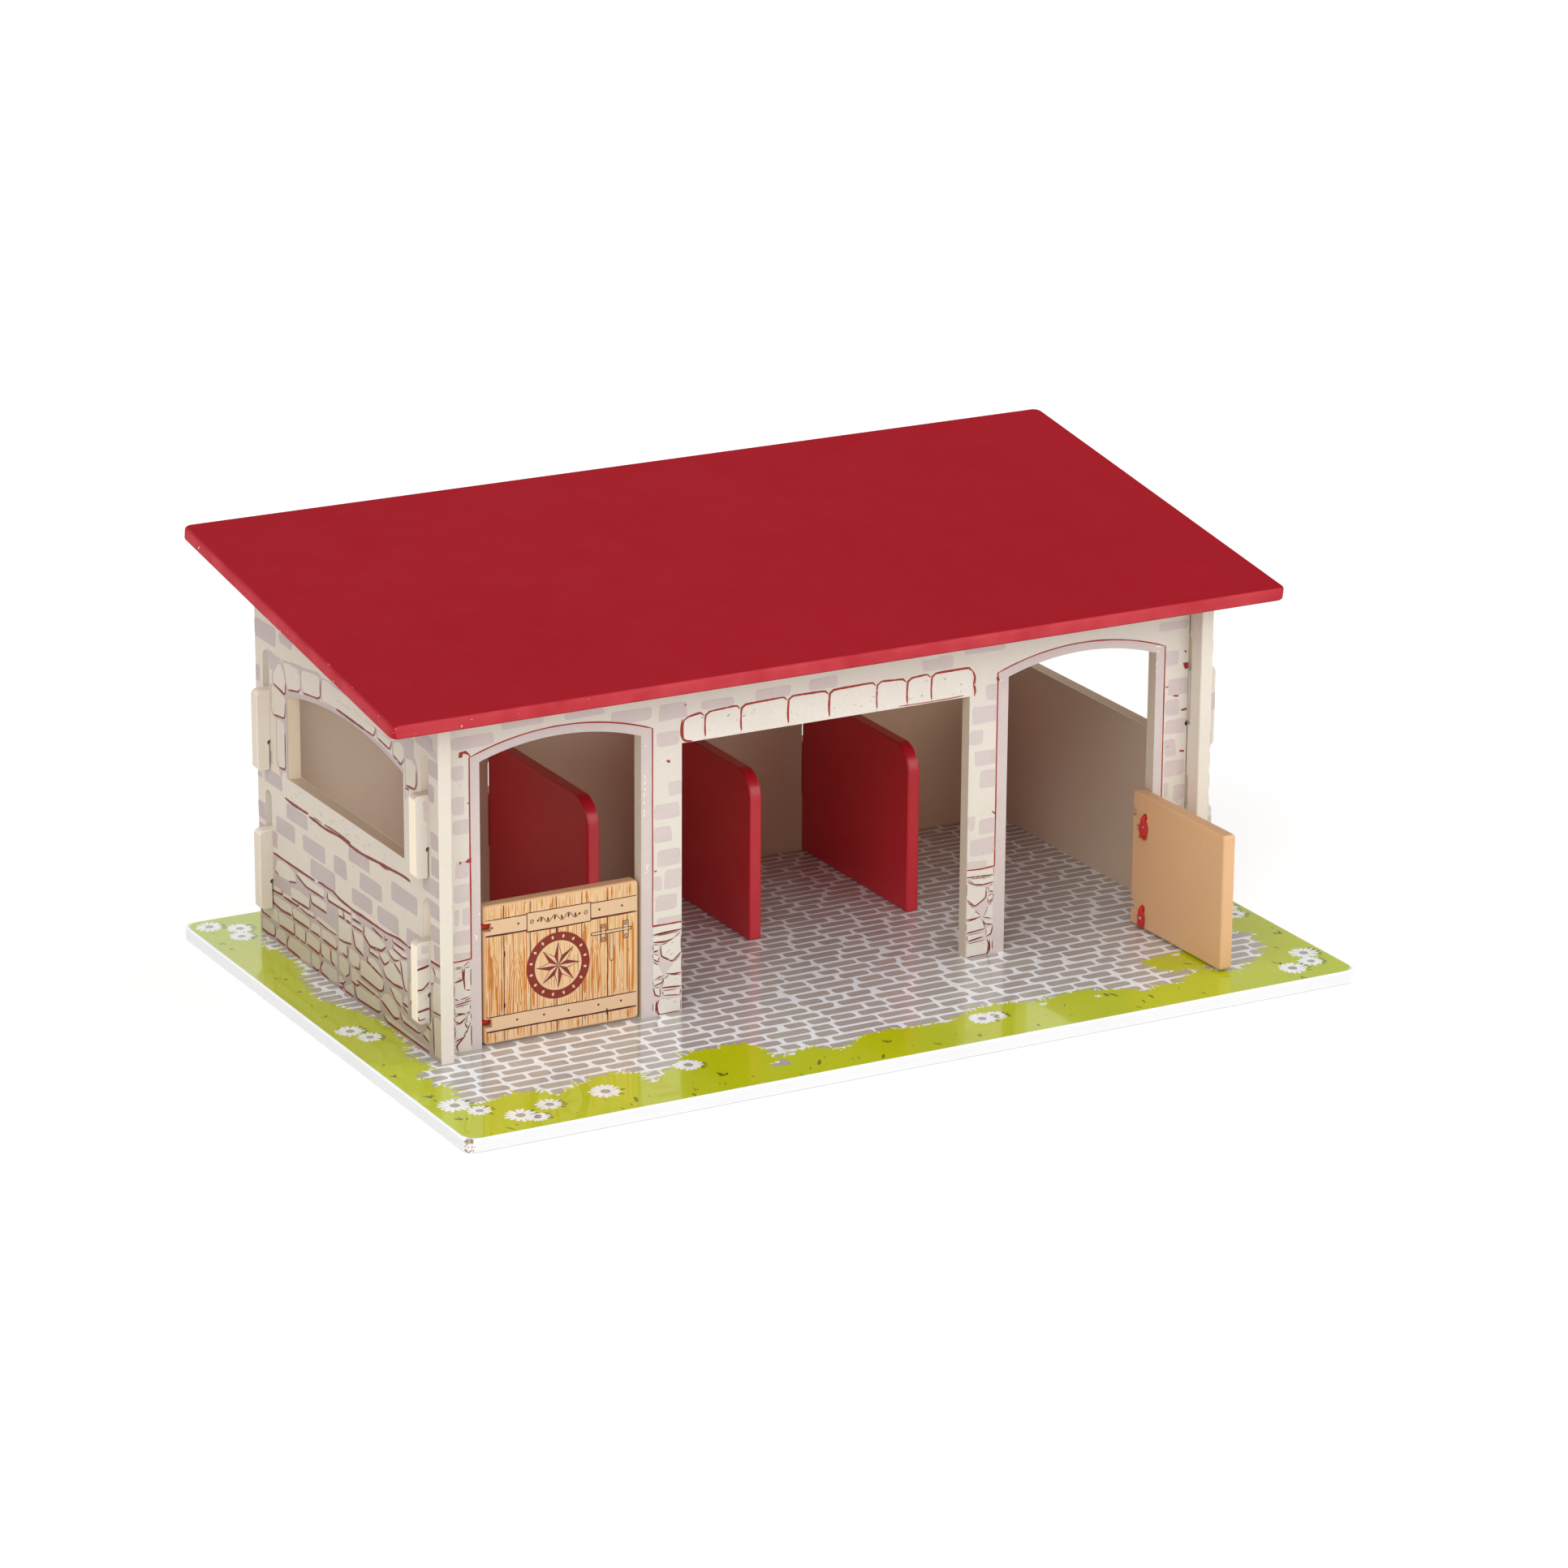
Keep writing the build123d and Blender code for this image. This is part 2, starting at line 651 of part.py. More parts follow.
def door_tack_planes(frame):
    """Planes under each door tack, on the door's inner face, normal outwards."""
    planes = []
    for y in (-hinge_offset, hinge_offset):
        p = frame.from_local_coords(Vector(door_x0 + cord_run, y, -board / 2)) - Vector(0, 0, tack_drop)
        planes.append(Plane(origin=p, x_dir=(0, 0, 1), z_dir=frame.z_dir * -1))
    return planes


with BuildPart() as left_door_tacks:
    for p in door_tack_planes(left_frame):
        tack(p)
    round_tack_heads(left_door_tacks, door_tack_planes(left_frame))
left_door_tacks.part.label = "left_door_tacks"
export_step(left_door_tacks.part, "parts/left_door_tacks.step")

with BuildPart() as right_door_tacks:
    for p in door_tack_planes(right_frame):
        tack(p)
    round_tack_heads(right_door_tacks, door_tack_planes(right_frame))
right_door_tacks.part.label = "right_door_tacks"
export_step(right_door_tacks.part, "parts/right_door_tacks.step")

wall_tack_planes = [
    Plane(origin=(side * (doorway_out_x + wall_cord_run), front_wall_y + board, z - tack_drop),
          x_dir=(0, 0, 1), z_dir=(0, 1, 0))
    for side in (-1, 1) for z in hinge_zs
]
with BuildPart() as front_wall_tacks:
    for p in wall_tack_planes:
        tack(p)
    round_tack_heads(front_wall_tacks, wall_tack_planes)
front_wall_tacks.part.label = "front_wall_tacks"
export_step(front_wall_tacks.part, "parts/front_wall_tacks.step")

print("hinge line x %.2f y %.2f, cord heights %s" % (pivot_x, pivot_y, hinge_zs))
print("roof top back z %.2f" % (roof_front_z + roof_run * math.sin(slope)))
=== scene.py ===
# Looks of a wooden toy stable with half doors: printed boards, lacquered base, red roof,
# rope hinges.  Lengths in the layouts below are millimetres, the scene is in metres.
import math
import random

import bmesh
import bpy
from mathutils import Matrix, Vector
from mathutils.geometry import delaunay_2d_cdt


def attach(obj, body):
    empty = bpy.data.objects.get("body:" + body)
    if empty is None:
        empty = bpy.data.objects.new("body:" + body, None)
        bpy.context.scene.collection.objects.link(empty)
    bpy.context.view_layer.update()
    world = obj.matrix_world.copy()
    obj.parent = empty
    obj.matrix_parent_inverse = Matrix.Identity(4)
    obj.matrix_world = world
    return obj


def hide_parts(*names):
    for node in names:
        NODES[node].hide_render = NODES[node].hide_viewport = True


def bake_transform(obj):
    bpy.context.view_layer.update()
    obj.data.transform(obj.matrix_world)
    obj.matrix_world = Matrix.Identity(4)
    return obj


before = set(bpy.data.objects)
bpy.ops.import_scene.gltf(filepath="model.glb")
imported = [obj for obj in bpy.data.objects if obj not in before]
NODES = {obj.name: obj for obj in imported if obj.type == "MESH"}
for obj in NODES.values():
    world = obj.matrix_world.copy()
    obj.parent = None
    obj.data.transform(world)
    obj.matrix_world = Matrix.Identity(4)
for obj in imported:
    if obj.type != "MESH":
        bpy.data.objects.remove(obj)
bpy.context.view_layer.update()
scene = bpy.context.scene
MM = 0.001

# ------------------------------------------------------------------ camera
cam_data = bpy.data.cameras.new("photo_camera")
cam_data.sensor_fit = "HORIZONTAL"
cam_data.sensor_width = 36.0
cam_data.lens = 136.28
cam_data.clip_start = 0.05
cam_data.clip_end = 60.0
cam = bpy.data.objects.new("photo_camera", cam_data)
scene.collection.objects.link(cam)
cam.matrix_world = Matrix(
    (
        (0.87747677, 0.14671225, -0.45662899, -1.155354),
        (-0.47957251, 0.28166333, -0.83106918, -2.118649),
        (0.00668761, 0.94823061, 0.31751219, 0.888201),
        (0.0, 0.0, 0.0, 1.0),
    )
)
scene.camera = cam


# ------------------------------------------------------------------ colour
def lin(r, g, b):
    """0-255 display colour to a linear one."""

    def f(c):
        c /= 255.0
        return c / 12.92 if c <= 0.04045 else ((c + 0.055) / 1.055) ** 2.4

    return (f(r), f(g), f(b), 1.0)


class Mat:
    """A small builder for node materials.  Patterns use object coordinates in metres."""

    def __init__(self, name):
        self.m = bpy.data.materials.new(name)
        self.m.use_nodes = True
        self.nt = self.m.node_tree
        self.nt.nodes.clear()
        self.out = self.nt.nodes.new("ShaderNodeOutputMaterial")
        self.p = self.nt.nodes.new("ShaderNodeBsdfPrincipled")
        self.nt.links.new(self.p.outputs[0], self.out.inputs[0])
        self.co = self.nt.nodes.new("ShaderNodeTexCoord").outputs["Object"]

    def link(self, a, b):
        self.nt.links.new(a, b)

    def stretch(self, sx, sy, sz, rot=(0, 0, 0), shift=(0, 0, 0)):
        n = self.nt.nodes.new("ShaderNodeMapping")
        n.inputs["Scale"].default_value = (sx, sy, sz)
        n.inputs["Rotation"].default_value = rot
        n.inputs["Location"].default_value = shift
        self.link(self.co, n.inputs["Vector"])
        return n.outputs[0]

    def noise(self, scale, detail=3.0, rough=0.5, vec=None, distort=0.0):
        n = self.nt.nodes.new("ShaderNodeTexNoise")
        n.inputs["Scale"].default_value = scale
        n.inputs["Detail"].default_value = detail
        n.inputs["Roughness"].default_value = rough
        n.inputs["Distortion"].default_value = distort
        self.link(vec if vec is not None else self.co, n.inputs["Vector"])
        return n.outputs["Fac"]

    def voronoi(self, scale, vec=None, feature="F1"):
        n = self.nt.nodes.new("ShaderNodeTexVoronoi")
        n.feature = feature
        n.inputs["Scale"].default_value = scale
        self.link(vec if vec is not None else self.co, n.inputs["Vector"])
        return n.outputs["Distance"]

    def ramp(self, fac, lo, hi, a=0.0, b=1.0):
        n = self.nt.nodes.new("ShaderNodeMapRange")
        n.inputs["From Min"].default_value = lo
        n.inputs["From Max"].default_value = hi
        n.inputs["To Min"].default_value = a
        n.inputs["To Max"].default_value = b
        self.link(fac, n.inputs["Value"])
        return n.outputs[0]

    def math(self, op, a, b=None, c=None):
        n = self.nt.nodes.new("ShaderNodeMath")
        n.operation = op
        for i, v in enumerate((a, b, c)):
            if v is None:
                continue
            if isinstance(v, (int, float)):
                n.inputs[i].default_value = v
            else:
                self.link(v, n.inputs[i])
        return n.outputs[0]

    def axis(self, which):
        n = self.nt.nodes.new("ShaderNodeSeparateXYZ")
        self.link(self.co, n.inputs[0])
        return n.outputs["XYZ".index(which)]

    def mix(self, fac, a, b, mode="MIX"):
        n = self.nt.nodes.new("ShaderNodeMix")
        n.data_type = "RGBA"
        n.blend_type = mode
        for i, v in ((0, fac), (6, a), (7, b)):
            if isinstance(v, (int, float)):
                n.inputs[i].default_value = v
            elif isinstance(v, tuple):
                n.inputs[i].default_value = v
            else:
                self.link(v, n.inputs[i])
        return n.outputs[2]

    def colour(self, c):
        self.link(c, self.p.inputs["Base Color"])

    def rough(self, lo, hi, scale=60.0, vec=None):
        self.link(self.ramp(self.noise(scale, 4.0, 0.55, vec), 0.3, 0.7, lo, hi), self.p.inputs["Roughness"])

    def bump(self, fac, strength, dist):
        n = self.nt.nodes.new("ShaderNodeBump")
        n.inputs["Strength"].default_value = strength
        n.inputs["Distance"].default_value = dist
        self.link(fac, n.inputs["Height"])
        self.link(n.outputs[0], self.p.inputs["Normal"])

    def coat(self, weight, rough, ior=1.5):
        self.p.inputs["Coat Weight"].default_value = weight
        self.p.inputs["Coat Roughness"].default_value = rough
        self.p.inputs["Coat IOR"].default_value = ior


def painted(name, base, alt, rough=(0.38, 0.5), blotch=22.0, grain=650.0, fine=0.05, bump=0.25, coat=None, spec=0.5):
    """Sprayed or printed paint on fine fibreboard: slow tone drift, a fine mottle and a faint orange peel."""
    m = Mat(name)
    slow = m.ramp(m.noise(blotch, 4.0, 0.6), 0.36, 0.64)
    c = m.mix(slow, base, alt)
    mott = m.ramp(m.noise(grain, 2.0, 0.5), 0.3, 0.7, 1.0 - fine, 1.0 + fine)
    v = m.nt.nodes.new("ShaderNodeHueSaturation")
    m.link(mott, v.inputs["Value"])
    m.link(c, v.inputs["Color"])
    m.colour(v.outputs[0])
    m.rough(rough[0], rough[1], 45.0)
    peel = m.math("ADD", m.noise(grain * 0.55, 2.0, 0.5), m.math("MULTIPLY", m.noise(grain * 2.2, 1.0, 0.5), 0.35))
    m.bump(peel, bump, 0.00006)
    m.p.inputs["Specular IOR Level"].default_value = spec
    if coat:
        m.coat(*coat)
    return m


def speckle(m, scale, threshold, colour, strength=1.0, soft=0.02, where=None, vec=None):
    """Sparse small marks: chips, pin holes or dust nibs in the paint."""
    src = m.p.inputs["Base Color"].links[0].from_socket
    mark = m.ramp(m.noise(scale, 3.0, 0.55, vec), threshold, threshold + soft, 0.0, strength)
    if where is not None:
        mark = m.math("MULTIPLY", mark, where)
    m.colour(m.mix(mark, src, colour))


# ------------------------------------------------------------------ flat shapes (mm)
def area2(p):
    return sum(p[i - 1][0] * p[i][1] - p[i][0] * p[i - 1][1] for i in range(len(p)))


def ccw(p):
    return list(p) if area2(p) > 0 else list(reversed(p))


def rounded(poly, r, seg=4):
    """Polygon with its corners rounded by short curves."""
    out = []
    n = len(poly)
    for i in range(n):
        a, b, c = Vector(poly[i - 1]), Vector(poly[i]), Vector(poly[(i + 1) % n])
        ra = min(r, (a - b).length * 0.45)
        rc = min(r, (c - b).length * 0.45)
        if ra < 1e-4 or rc < 1e-4:
            out.append(tuple(b))
            continue
        p = b + (a - b).normalized() * ra
        q = b + (c - b).normalized() * rc
        for k in range(seg + 1):
            t = k / seg
            out.append(tuple((1 - t) ** 2 * p + 2 * t * (1 - t) * b + t * t * q))
    return out


def wobble(poly, rng, amp, step=4.0):
    """Hand-drawn edge: long sides get middle points, every point strays a little."""
    out = []
    n = len(poly)
    for i in range(n):
        a, b = poly[i], poly[(i + 1) % n]
        d = math.hypot(b[0] - a[0], b[1] - a[1])
        k = max(1, int(d / step))
        for j in range(k):
            t = j / k
            s = amp if d > 0.8 else amp * 0.35
            out.append((a[0] + (b[0] - a[0]) * t + rng.uniform(-s, s), a[1] + (b[1] - a[1]) * t + rng.uniform(-s, s)))
    return out


def brick(x0, z0, x1, z1, rng, r=1.5, lean=0.55):
    """A rounded brick that is a little out of square."""
    j = lambda: rng.uniform(-lean, lean)
    p = [(x0 + j(), z0 + j() * 0.6), (x1 + j(), z0 + j() * 0.6), (x1 + j(), z1 + j() * 0.6), (x0 + j(), z1 + j() * 0.6)]
    rr = min(r * rng.uniform(0.7, 1.25), abs(z1 - z0) * 0.42, abs(x1 - x0) * 0.42)
    return wobble(rounded(p, rr, 4), rng, 0.11, 5.0)


def disc(cx, cy, r, n=18, squeeze=1.0):
    return [(cx + r * math.cos(2 * math.pi * i / n), cy + r * squeeze * math.sin(2 * math.pi * i / n)) for i in range(n)]


def through(pts, step=1.2):
    """Smooth curve through points (Catmull-Rom), sampled about every step."""
    if len(pts) < 3:
        a, b = pts
        k = max(2, int(math.hypot(b[0] - a[0], b[1] - a[1]) / step))
        return [(a[0] + (b[0] - a[0]) * i / k, a[1] + (b[1] - a[1]) * i / k) for i in range(k + 1)]
    q = [pts[0], *pts, pts[-1]]
    out = []
    for i in range(1, len(q) - 2):
        p0, p1, p2, p3 = q[i - 1], q[i], q[i + 1], q[i + 2]
        k = max(1, int(math.hypot(p2[0] - p1[0], p2[1] - p1[1]) / step))
        for j in range(k):
            t = j / k
            out.append(
                tuple(
                    0.5 * (2 * p1[d] + (p2[d] - p0[d]) * t + (2 * p0[d] - 5 * p1[d] + 4 * p2[d] - p3[d]) * t * t + (3 * p1[d] - p0[d] - 3 * p2[d] + p3[d]) * t ** 3)
                    for d in (0, 1)
                )
            )
    out.append(tuple(pts[-1]))
    return out


def stroke(pts, width, rng=None, taper=0.35, step=1.2, smooth=True, jag=0.0):
    """A brush or pen line as a chain of small quads that share their sides."""
    path = through(pts, step) if smooth else [tuple(p) for p in pts]
    path = [p for i, p in enumerate(path) if i == 0 or math.hypot(p[0] - path[i - 1][0], p[1] - path[i - 1][1]) > 0.05]
    if len(path) < 2:
        return []
    n = len(path)
    total = sum(math.hypot(path[i + 1][0] - path[i][0], path[i + 1][1] - path[i][1]) for i in range(n - 1))
    run = 0.0
    left, right = [], []
    drift = 0.0
    for i, p in enumerate(path):
        a = path[max(0, i - 1)]
        b = path[min(n - 1, i + 1)]
        dx, dy = b[0] - a[0], b[1] - a[1]
        d = math.hypot(dx, dy) or 1.0
        nx, ny = -dy / d, dx / d
        if i:
            run += math.hypot(p[0] - path[i - 1][0], p[1] - path[i - 1][1])
        end = min(run, total - run) / max(0.001, min(total * 0.3, 2.5))
        w = width * (taper + (1 - taper) * min(1.0, end) ** 0.6)
        if rng:
            drift = drift * 0.6 + rng.uniform(-0.16, 0.16)
            w *= 1.0 + drift
            if jag:
                p = (p[0] + rng.uniform(-jag, jag), p[1] + rng.uniform(-jag, jag))
        left.append((p[0] + nx * w / 2, p[1] + ny * w / 2))
        right.append((p[0] - nx * w / 2, p[1] - ny * w / 2))
    return [[right[i], right[i + 1], left[i + 1], left[i]] for i in range(n - 1)]


def arch(x0, x1, spring, top, n=20):
    """Points of a flat arch from (x0, spring) over the top to (x1, spring)."""
    c, rise = (x1 - x0) / 2.0, top - spring
    r = (c * c + rise * rise) / (2 * rise)
    cx, cz = (x0 + x1) / 2.0, top - r
    a = math.asin(c / r)
    return [(cx + r * math.sin(-a + 2 * a * i / n), cz + r * math.cos(-a + 2 * a * i / n)) for i in range(n + 1)]


def box2(x0, z0, x1, z1):
    return [(x0, z0), (x1, z0), (x1, z1), (x0, z1)]


# ------------------------------------------------------------------ cutting the print
MADE = {}


def print_on(name, outline, holes, shapes, place, body, inks, lift=0.06):
    """Cuts painted shapes into one mosaic, and makes one thin closed layer of ink per colour.

    shapes is a list of (ink, polygon), later ones on top; ink None leaves the board bare.
    place(u, v, h) gives the point in mm, h being the height above the board's face.
    """
    verts, faces, tags, polys2, cells = [], [], [], [], {}
    cell = 2.5

    def add(poly, tag):
        p = []
        for a, b in ccw(poly):
            if not p or math.hypot(a - p[-1][0], b - p[-1][1]) > 0.004:
                p.append((a, b))
        while len(p) > 2 and math.hypot(p[0][0] - p[-1][0], p[0][1] - p[-1][1]) <= 0.004:
            p.pop()
        if len(p) < 3 or abs(area2(p)) < 0.004:
            return
        k = len(verts)
        verts.extend(Vector(q) for q in p)
        faces.append(list(range(k, k + len(p))))
        i = len(tags)
        tags.append(tag)
        xs, ys = [q[0] for q in p], [q[1] for q in p]
        box = (min(xs), min(ys), max(xs), max(ys))
        polys2.append((p, box))
        if i:
            for gx in range(int(math.floor(box[0] / cell)), int(math.floor(box[2] / cell)) + 1):
                for gy in range(int(math.floor(box[1] / cell)), int(math.floor(box[3] / cell)) + 1):
                    cells.setdefault((gx, gy), []).append(i)

    def inside(i, x, y):
        p, (x0, y0, x1, y1) = polys2[i]
        if x < x0 or x > x1 or y < y0 or y > y1:
            return False
        hit = False
        ax, ay = p[-1]
        for bx, by in p:
            if (ay > y) != (by > y) and x < (bx - ax) * (y - ay) / (by - ay) + ax:
                hit = not hit
            ax, ay = bx, by
        return hit

    add(outline, "board")
    for ink, poly in shapes:
        add(poly, ink)
    for h in holes:
        add(h, "hole")
    vo, _, fo, _, _, _ = delaunay_2d_cdt(verts, [], faces, 1, 1e-4, True)
    parts = {}
    for tri in fo:
        x = sum(vo[v][0] for v in tri) / len(tri)
        y = sum(vo[v][1] for v in tri) / len(tri)
        if not inside(0, x, y):
            continue
        t = "board"
        for i in reversed(cells.get((int(math.floor(x / cell)), int(math.floor(y / cell))), ())):
            if inside(i, x, y):
                t = tags[i]
                break
        if t in ("board", "hole", None):
            continue
        parts.setdefault(t, []).append(list(tri))
    o = Vector(place(0, 0, 0))
    flip = (Vector(place(1, 0, 0)) - o).cross(Vector(place(0, 1, 0)) - o).dot(Vector(place(0, 0, 1)) - o) < 0
    made = []
    for ink in sorted(parts):
        tris = parts[ink]
        index, top, bottom = {}, [], []
        for t in tris:
            for v in t:
                if v not in index:
                    index[v] = len(top)
                    u, w = vo[v]
                    top.append(Vector(place(u, w, lift)) * MM)
                    bottom.append(Vector(place(u, w, -0.04)) * MM)
        n = len(top)
        polys, edges = [], {}
        for t in tris:
            a = [index[v] for v in t]
            if flip:
                a.reverse()
            polys.append(a)
            polys.append([v + n for v in reversed(a)])
            for i in range(len(a)):
                e = (a[i], a[(i + 1) % len(a)])
                edges[e] = edges.get(e, 0) + 1
        for a, b in edges:
            if (b, a) not in edges:
                polys.append([b, a, a + n, b + n])
        me = bpy.data.meshes.new(f"{name}_{ink}")
        me.from_pydata(top + bottom, [], polys)
        me.validate()
        ob = bpy.data.objects.new(f"{name}_{ink}", me)
        scene.collection.objects.link(ob)
        me.materials.append(inks[ink])
        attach(ob, body)
        MADE[ob.name] = ob
        made.append(ob)
    return made


# ------------------------------------------------------------------ materials of the boards
WHITE_CHIP = lin(228, 214, 196)
FIBRE = lin(150, 118, 88)

# walls: cream paint, a little warmer and rougher on the routed edges
wall_mat = painted("wall_cream_paint", lin(218, 211, 200), lin(215, 207, 196), rough=(0.5, 0.6), blotch=12, grain=420, fine=0.012, bump=0.16, spec=0.3)
speckle(wall_mat, 300.0, 0.79, lin(206, 190, 172), 0.4)


def tint(m, mask, ratio):
    """Multiplies the colour by a linear ratio where mask is 1: the board's own tones, painted shade and painted light.
    """
    src = m.p.inputs["Base Color"].links[0].from_socket
    m.colour(m.mix(mask, src, (*ratio, 1.0), "MULTIPLY"))


def band(m, v, lo, hi, soft=0.00005):
    """1 where the value v lies between lo and hi."""
    return m.math("MULTIPLY", m.ramp(v, lo - soft, lo), m.ramp(v, hi + soft, hi))


# front wall: routed edges of the openings warmer; the outer sides of the hooks painted paler as painted light; the
# board ends painted near black as painted shade in their gap
wy = wall_mat.axis("Y")
wx = wall_mat.axis("X")
tint(wall_mat, band(wall_mat, wy, -0.0533, -0.0477), (0.94, 0.87, 0.76))
# painted light: the outer end faces of the hooks lightened
tint(wall_mat, wall_mat.ramp(wx, -0.19095, -0.1911), (1.34, 1.37, 1.38))
# painted shade: the board ends in the gap to the side walls made near black
tint(wall_mat, band(wall_mat, wall_mat.math("ABSOLUTE", wx), 0.17864, 0.17876), (0.14, 0.10, 0.07))

# side walls: the outer faces are a shade deeper
side_mat = painted("side_cream_paint", lin(219, 210, 197), lin(216, 206, 193), rough=(0.5, 0.6), blotch=12, grain=420, fine=0.012, bump=0.16, spec=0.3)
tint(side_mat, side_mat.ramp(side_mat.math("ABSOLUTE", side_mat.axis("X")), 0.18485, 0.18495), (0.86, 0.84, 0.815))
sx = side_mat.math("ABSOLUTE", side_mat.axis("X"))
sy = side_mat.axis("Y")
# inner faces darker and warmer: partly the board's warmer inner paint, partly painted shade of the interior
inner_face = side_mat.math("MULTIPLY", side_mat.ramp(sx, 0.1792, 0.1791), side_mat.ramp(sy, -0.0478, -0.0472))
tint(side_mat, inner_face, (0.92, 0.83, 0.72))
# painted shade: the faces inside the slots made darker and browner
slots = side_mat.math("MULTIPLY", band(side_mat, sx, 0.1793, 0.1848), band(side_mat, sy, -0.0556, -0.0470))
tint(side_mat, slots, (0.72, 0.62, 0.50))
# painted light: on the left wall the slot faces lifted above the plain paint again
tint(side_mat, side_mat.math("MULTIPLY", slots, side_mat.ramp(side_mat.axis("X"), 0.01, -0.01)), (1.88, 2.16, 2.55))
sz = side_mat.axis("Z")
# painted shade with a yellowish cast of bounce from the grass, darker towards the foot of the outer face
tint(side_mat, side_mat.math("MULTIPLY", side_mat.ramp(sx, 0.18485, 0.18495), side_mat.ramp(sz, 0.046, 0.020)), (0.84, 0.82, 0.72))
# window reveal darker and warmer: partly the routed edge's own tone, partly painted shade
window = side_mat.math("MULTIPLY", band(side_mat, sx, 0.1796, 0.1845, 0.0003), band(side_mat, sy, -0.0301, 0.0865))
window = side_mat.math("MULTIPLY", window, band(side_mat, sz, 0.0848, 0.1300))
tint(side_mat, window, (0.84, 0.74, 0.60))
# painted light: the back jamb of the window lifted, as lit
tint(side_mat, side_mat.math("MULTIPLY", window, side_mat.ramp(sy, 0.0856, 0.0860)), (1.40, 1.48, 1.56))
# painted shade: the sill darker towards the front
sill = side_mat.math("MULTIPLY", window, side_mat.ramp(sz, 0.0856, 0.0852))
tint(side_mat, side_mat.math("MULTIPLY", sill, side_mat.ramp(sy, 0.06, -0.02)), (0.80, 0.76, 0.72))
# painted shade: a near black strip on the inner face where the front board meets it
tint(side_mat, side_mat.math("MULTIPLY", side_mat.ramp(sx, 0.1792, 0.1791), band(side_mat, sy, -0.0534, -0.0476)), (0.16, 0.11, 0.08))
speckle(side_mat, 300.0, 0.79, lin(196, 180, 162), 0.4)

# back board: inner face darker and warmer, partly its own paint and partly painted shade of the interior, with painted
# light towards its left end; the outer sides of its hooks painted darker as painted shade
back_mat = painted("back_cream_paint", lin(230, 220, 206), lin(227, 216, 202), rough=(0.52, 0.62), blotch=10, grain=420, fine=0.012, bump=0.16, spec=0.3)
inner = back_mat.math("MULTIPLY", back_mat.ramp(back_mat.axis("Y"), 0.1049, 0.1047), back_mat.ramp(back_mat.math("ABSOLUTE", back_mat.axis("X")), 0.1792, 0.1789))
tint(back_mat, inner, (0.86, 0.70, 0.56))
# painted light: a pool of window light on the inner face towards the left end
tint(back_mat, back_mat.math("MULTIPLY", inner, back_mat.ramp(back_mat.axis("X"), -0.070, -0.102)), (1.64, 1.94, 2.20))
# painted shade: the outer end faces of the hooks darkened
tint(back_mat, back_mat.ramp(back_mat.axis("X"), -0.19095, -0.1911), (0.86, 0.83, 0.80))
speckle(back_mat, 280.0, 0.8, lin(200, 180, 158), 0.4)

# partitions: glossy red lacquer
part_mat = painted("partition_red_lacquer", lin(200, 33, 48), lin(196, 30, 45), rough=(0.29, 0.35), blotch=12, grain=300, fine=0.015, bump=0.02, coat=(0.12, 0.12), spec=0.4)

# roof: satin red; a painted highlight along the rounded rim, broken up by noise; small nicks along the rim
roof_mat = painted("roof_red_satin", lin(156, 20, 33), lin(153, 18, 31), rough=(0.5, 0.58), blotch=7, grain=520, fine=0.02, bump=0.22, spec=0.03)


def roof_rim(m):
    x = m.math("ABSOLUTE", m.axis("X"))
    ends = m.ramp(x, 0.2105, 0.2119)
    y = m.axis("Y")
    front = m.ramp(y, -0.0769, -0.0775)
    rim = m.math("MAXIMUM", ends, front)
    return rim


rim = roof_rim(roof_mat)
src = roof_mat.p.inputs["Base Color"].links[0].from_socket
# painted highlight: the rim's arrises made paler pink
rim_highlight = roof_mat.math("MULTIPLY", rim, roof_mat.ramp(roof_mat.noise(70.0, 3.0), 0.3, 0.7, 0.5, 0.95))
roof_mat.colour(roof_mat.mix(rim_highlight, src, lin(190, 66, 73)))
near = roof_mat.ramp(roof_mat.axis("X"), -0.15, -0.19)
speckle(roof_mat, 420.0, 0.7, WHITE_CHIP, 0.85, 0.015, where=roof_mat.math("MULTIPLY", rim, near))
speckle(roof_mat, 420.0, 0.76, WHITE_CHIP, 0.7, 0.015, where=rim)
speckle(roof_mat, 520.0, 0.82, lin(176, 60, 68), 0.35)

# base: white lacquer with a clear gloss; worn fibre at two corners
base_mat = painted("base_white_lacquer", lin(245, 251, 255), lin(242, 248, 253), rough=(0.16, 0.24), blotch=14, grain=380, fine=0.008, bump=0.06, coat=(0.7, 0.05), spec=0.4)
# painted shade: the side faces and underside greyed
tint(base_mat, base_mat.ramp(base_mat.axis("Z"), 0.0056, 0.0052), (0.80, 0.757, 0.73))
# painted shadow: a grey line along the bottom edge where the board meets the floor
tint(base_mat, base_mat.ramp(base_mat.axis("Z"), 0.0006, 0.0002), (0.72, 0.72, 0.73))
speckle(base_mat, 300.0, 0.81, lin(206, 200, 190), 0.5)


def corner_wear(m, x, y, r):
    """1 close to a corner of the base, broken up by noise."""
    dx = m.math("SUBTRACT", m.axis("X"), x)
    dy = m.math("SUBTRACT", m.axis("Y"), y)
    d = m.math("SQRT", m.math("ADD", m.math("MULTIPLY", dx, dx), m.math("MULTIPLY", dy, dy)))
    d = m.math("ADD", d, m.ramp(m.noise(330.0, 4.0, 0.6), 0.2, 0.8, -0.35 * r, 0.35 * r))
    return m.ramp(d, r, r * 0.93)


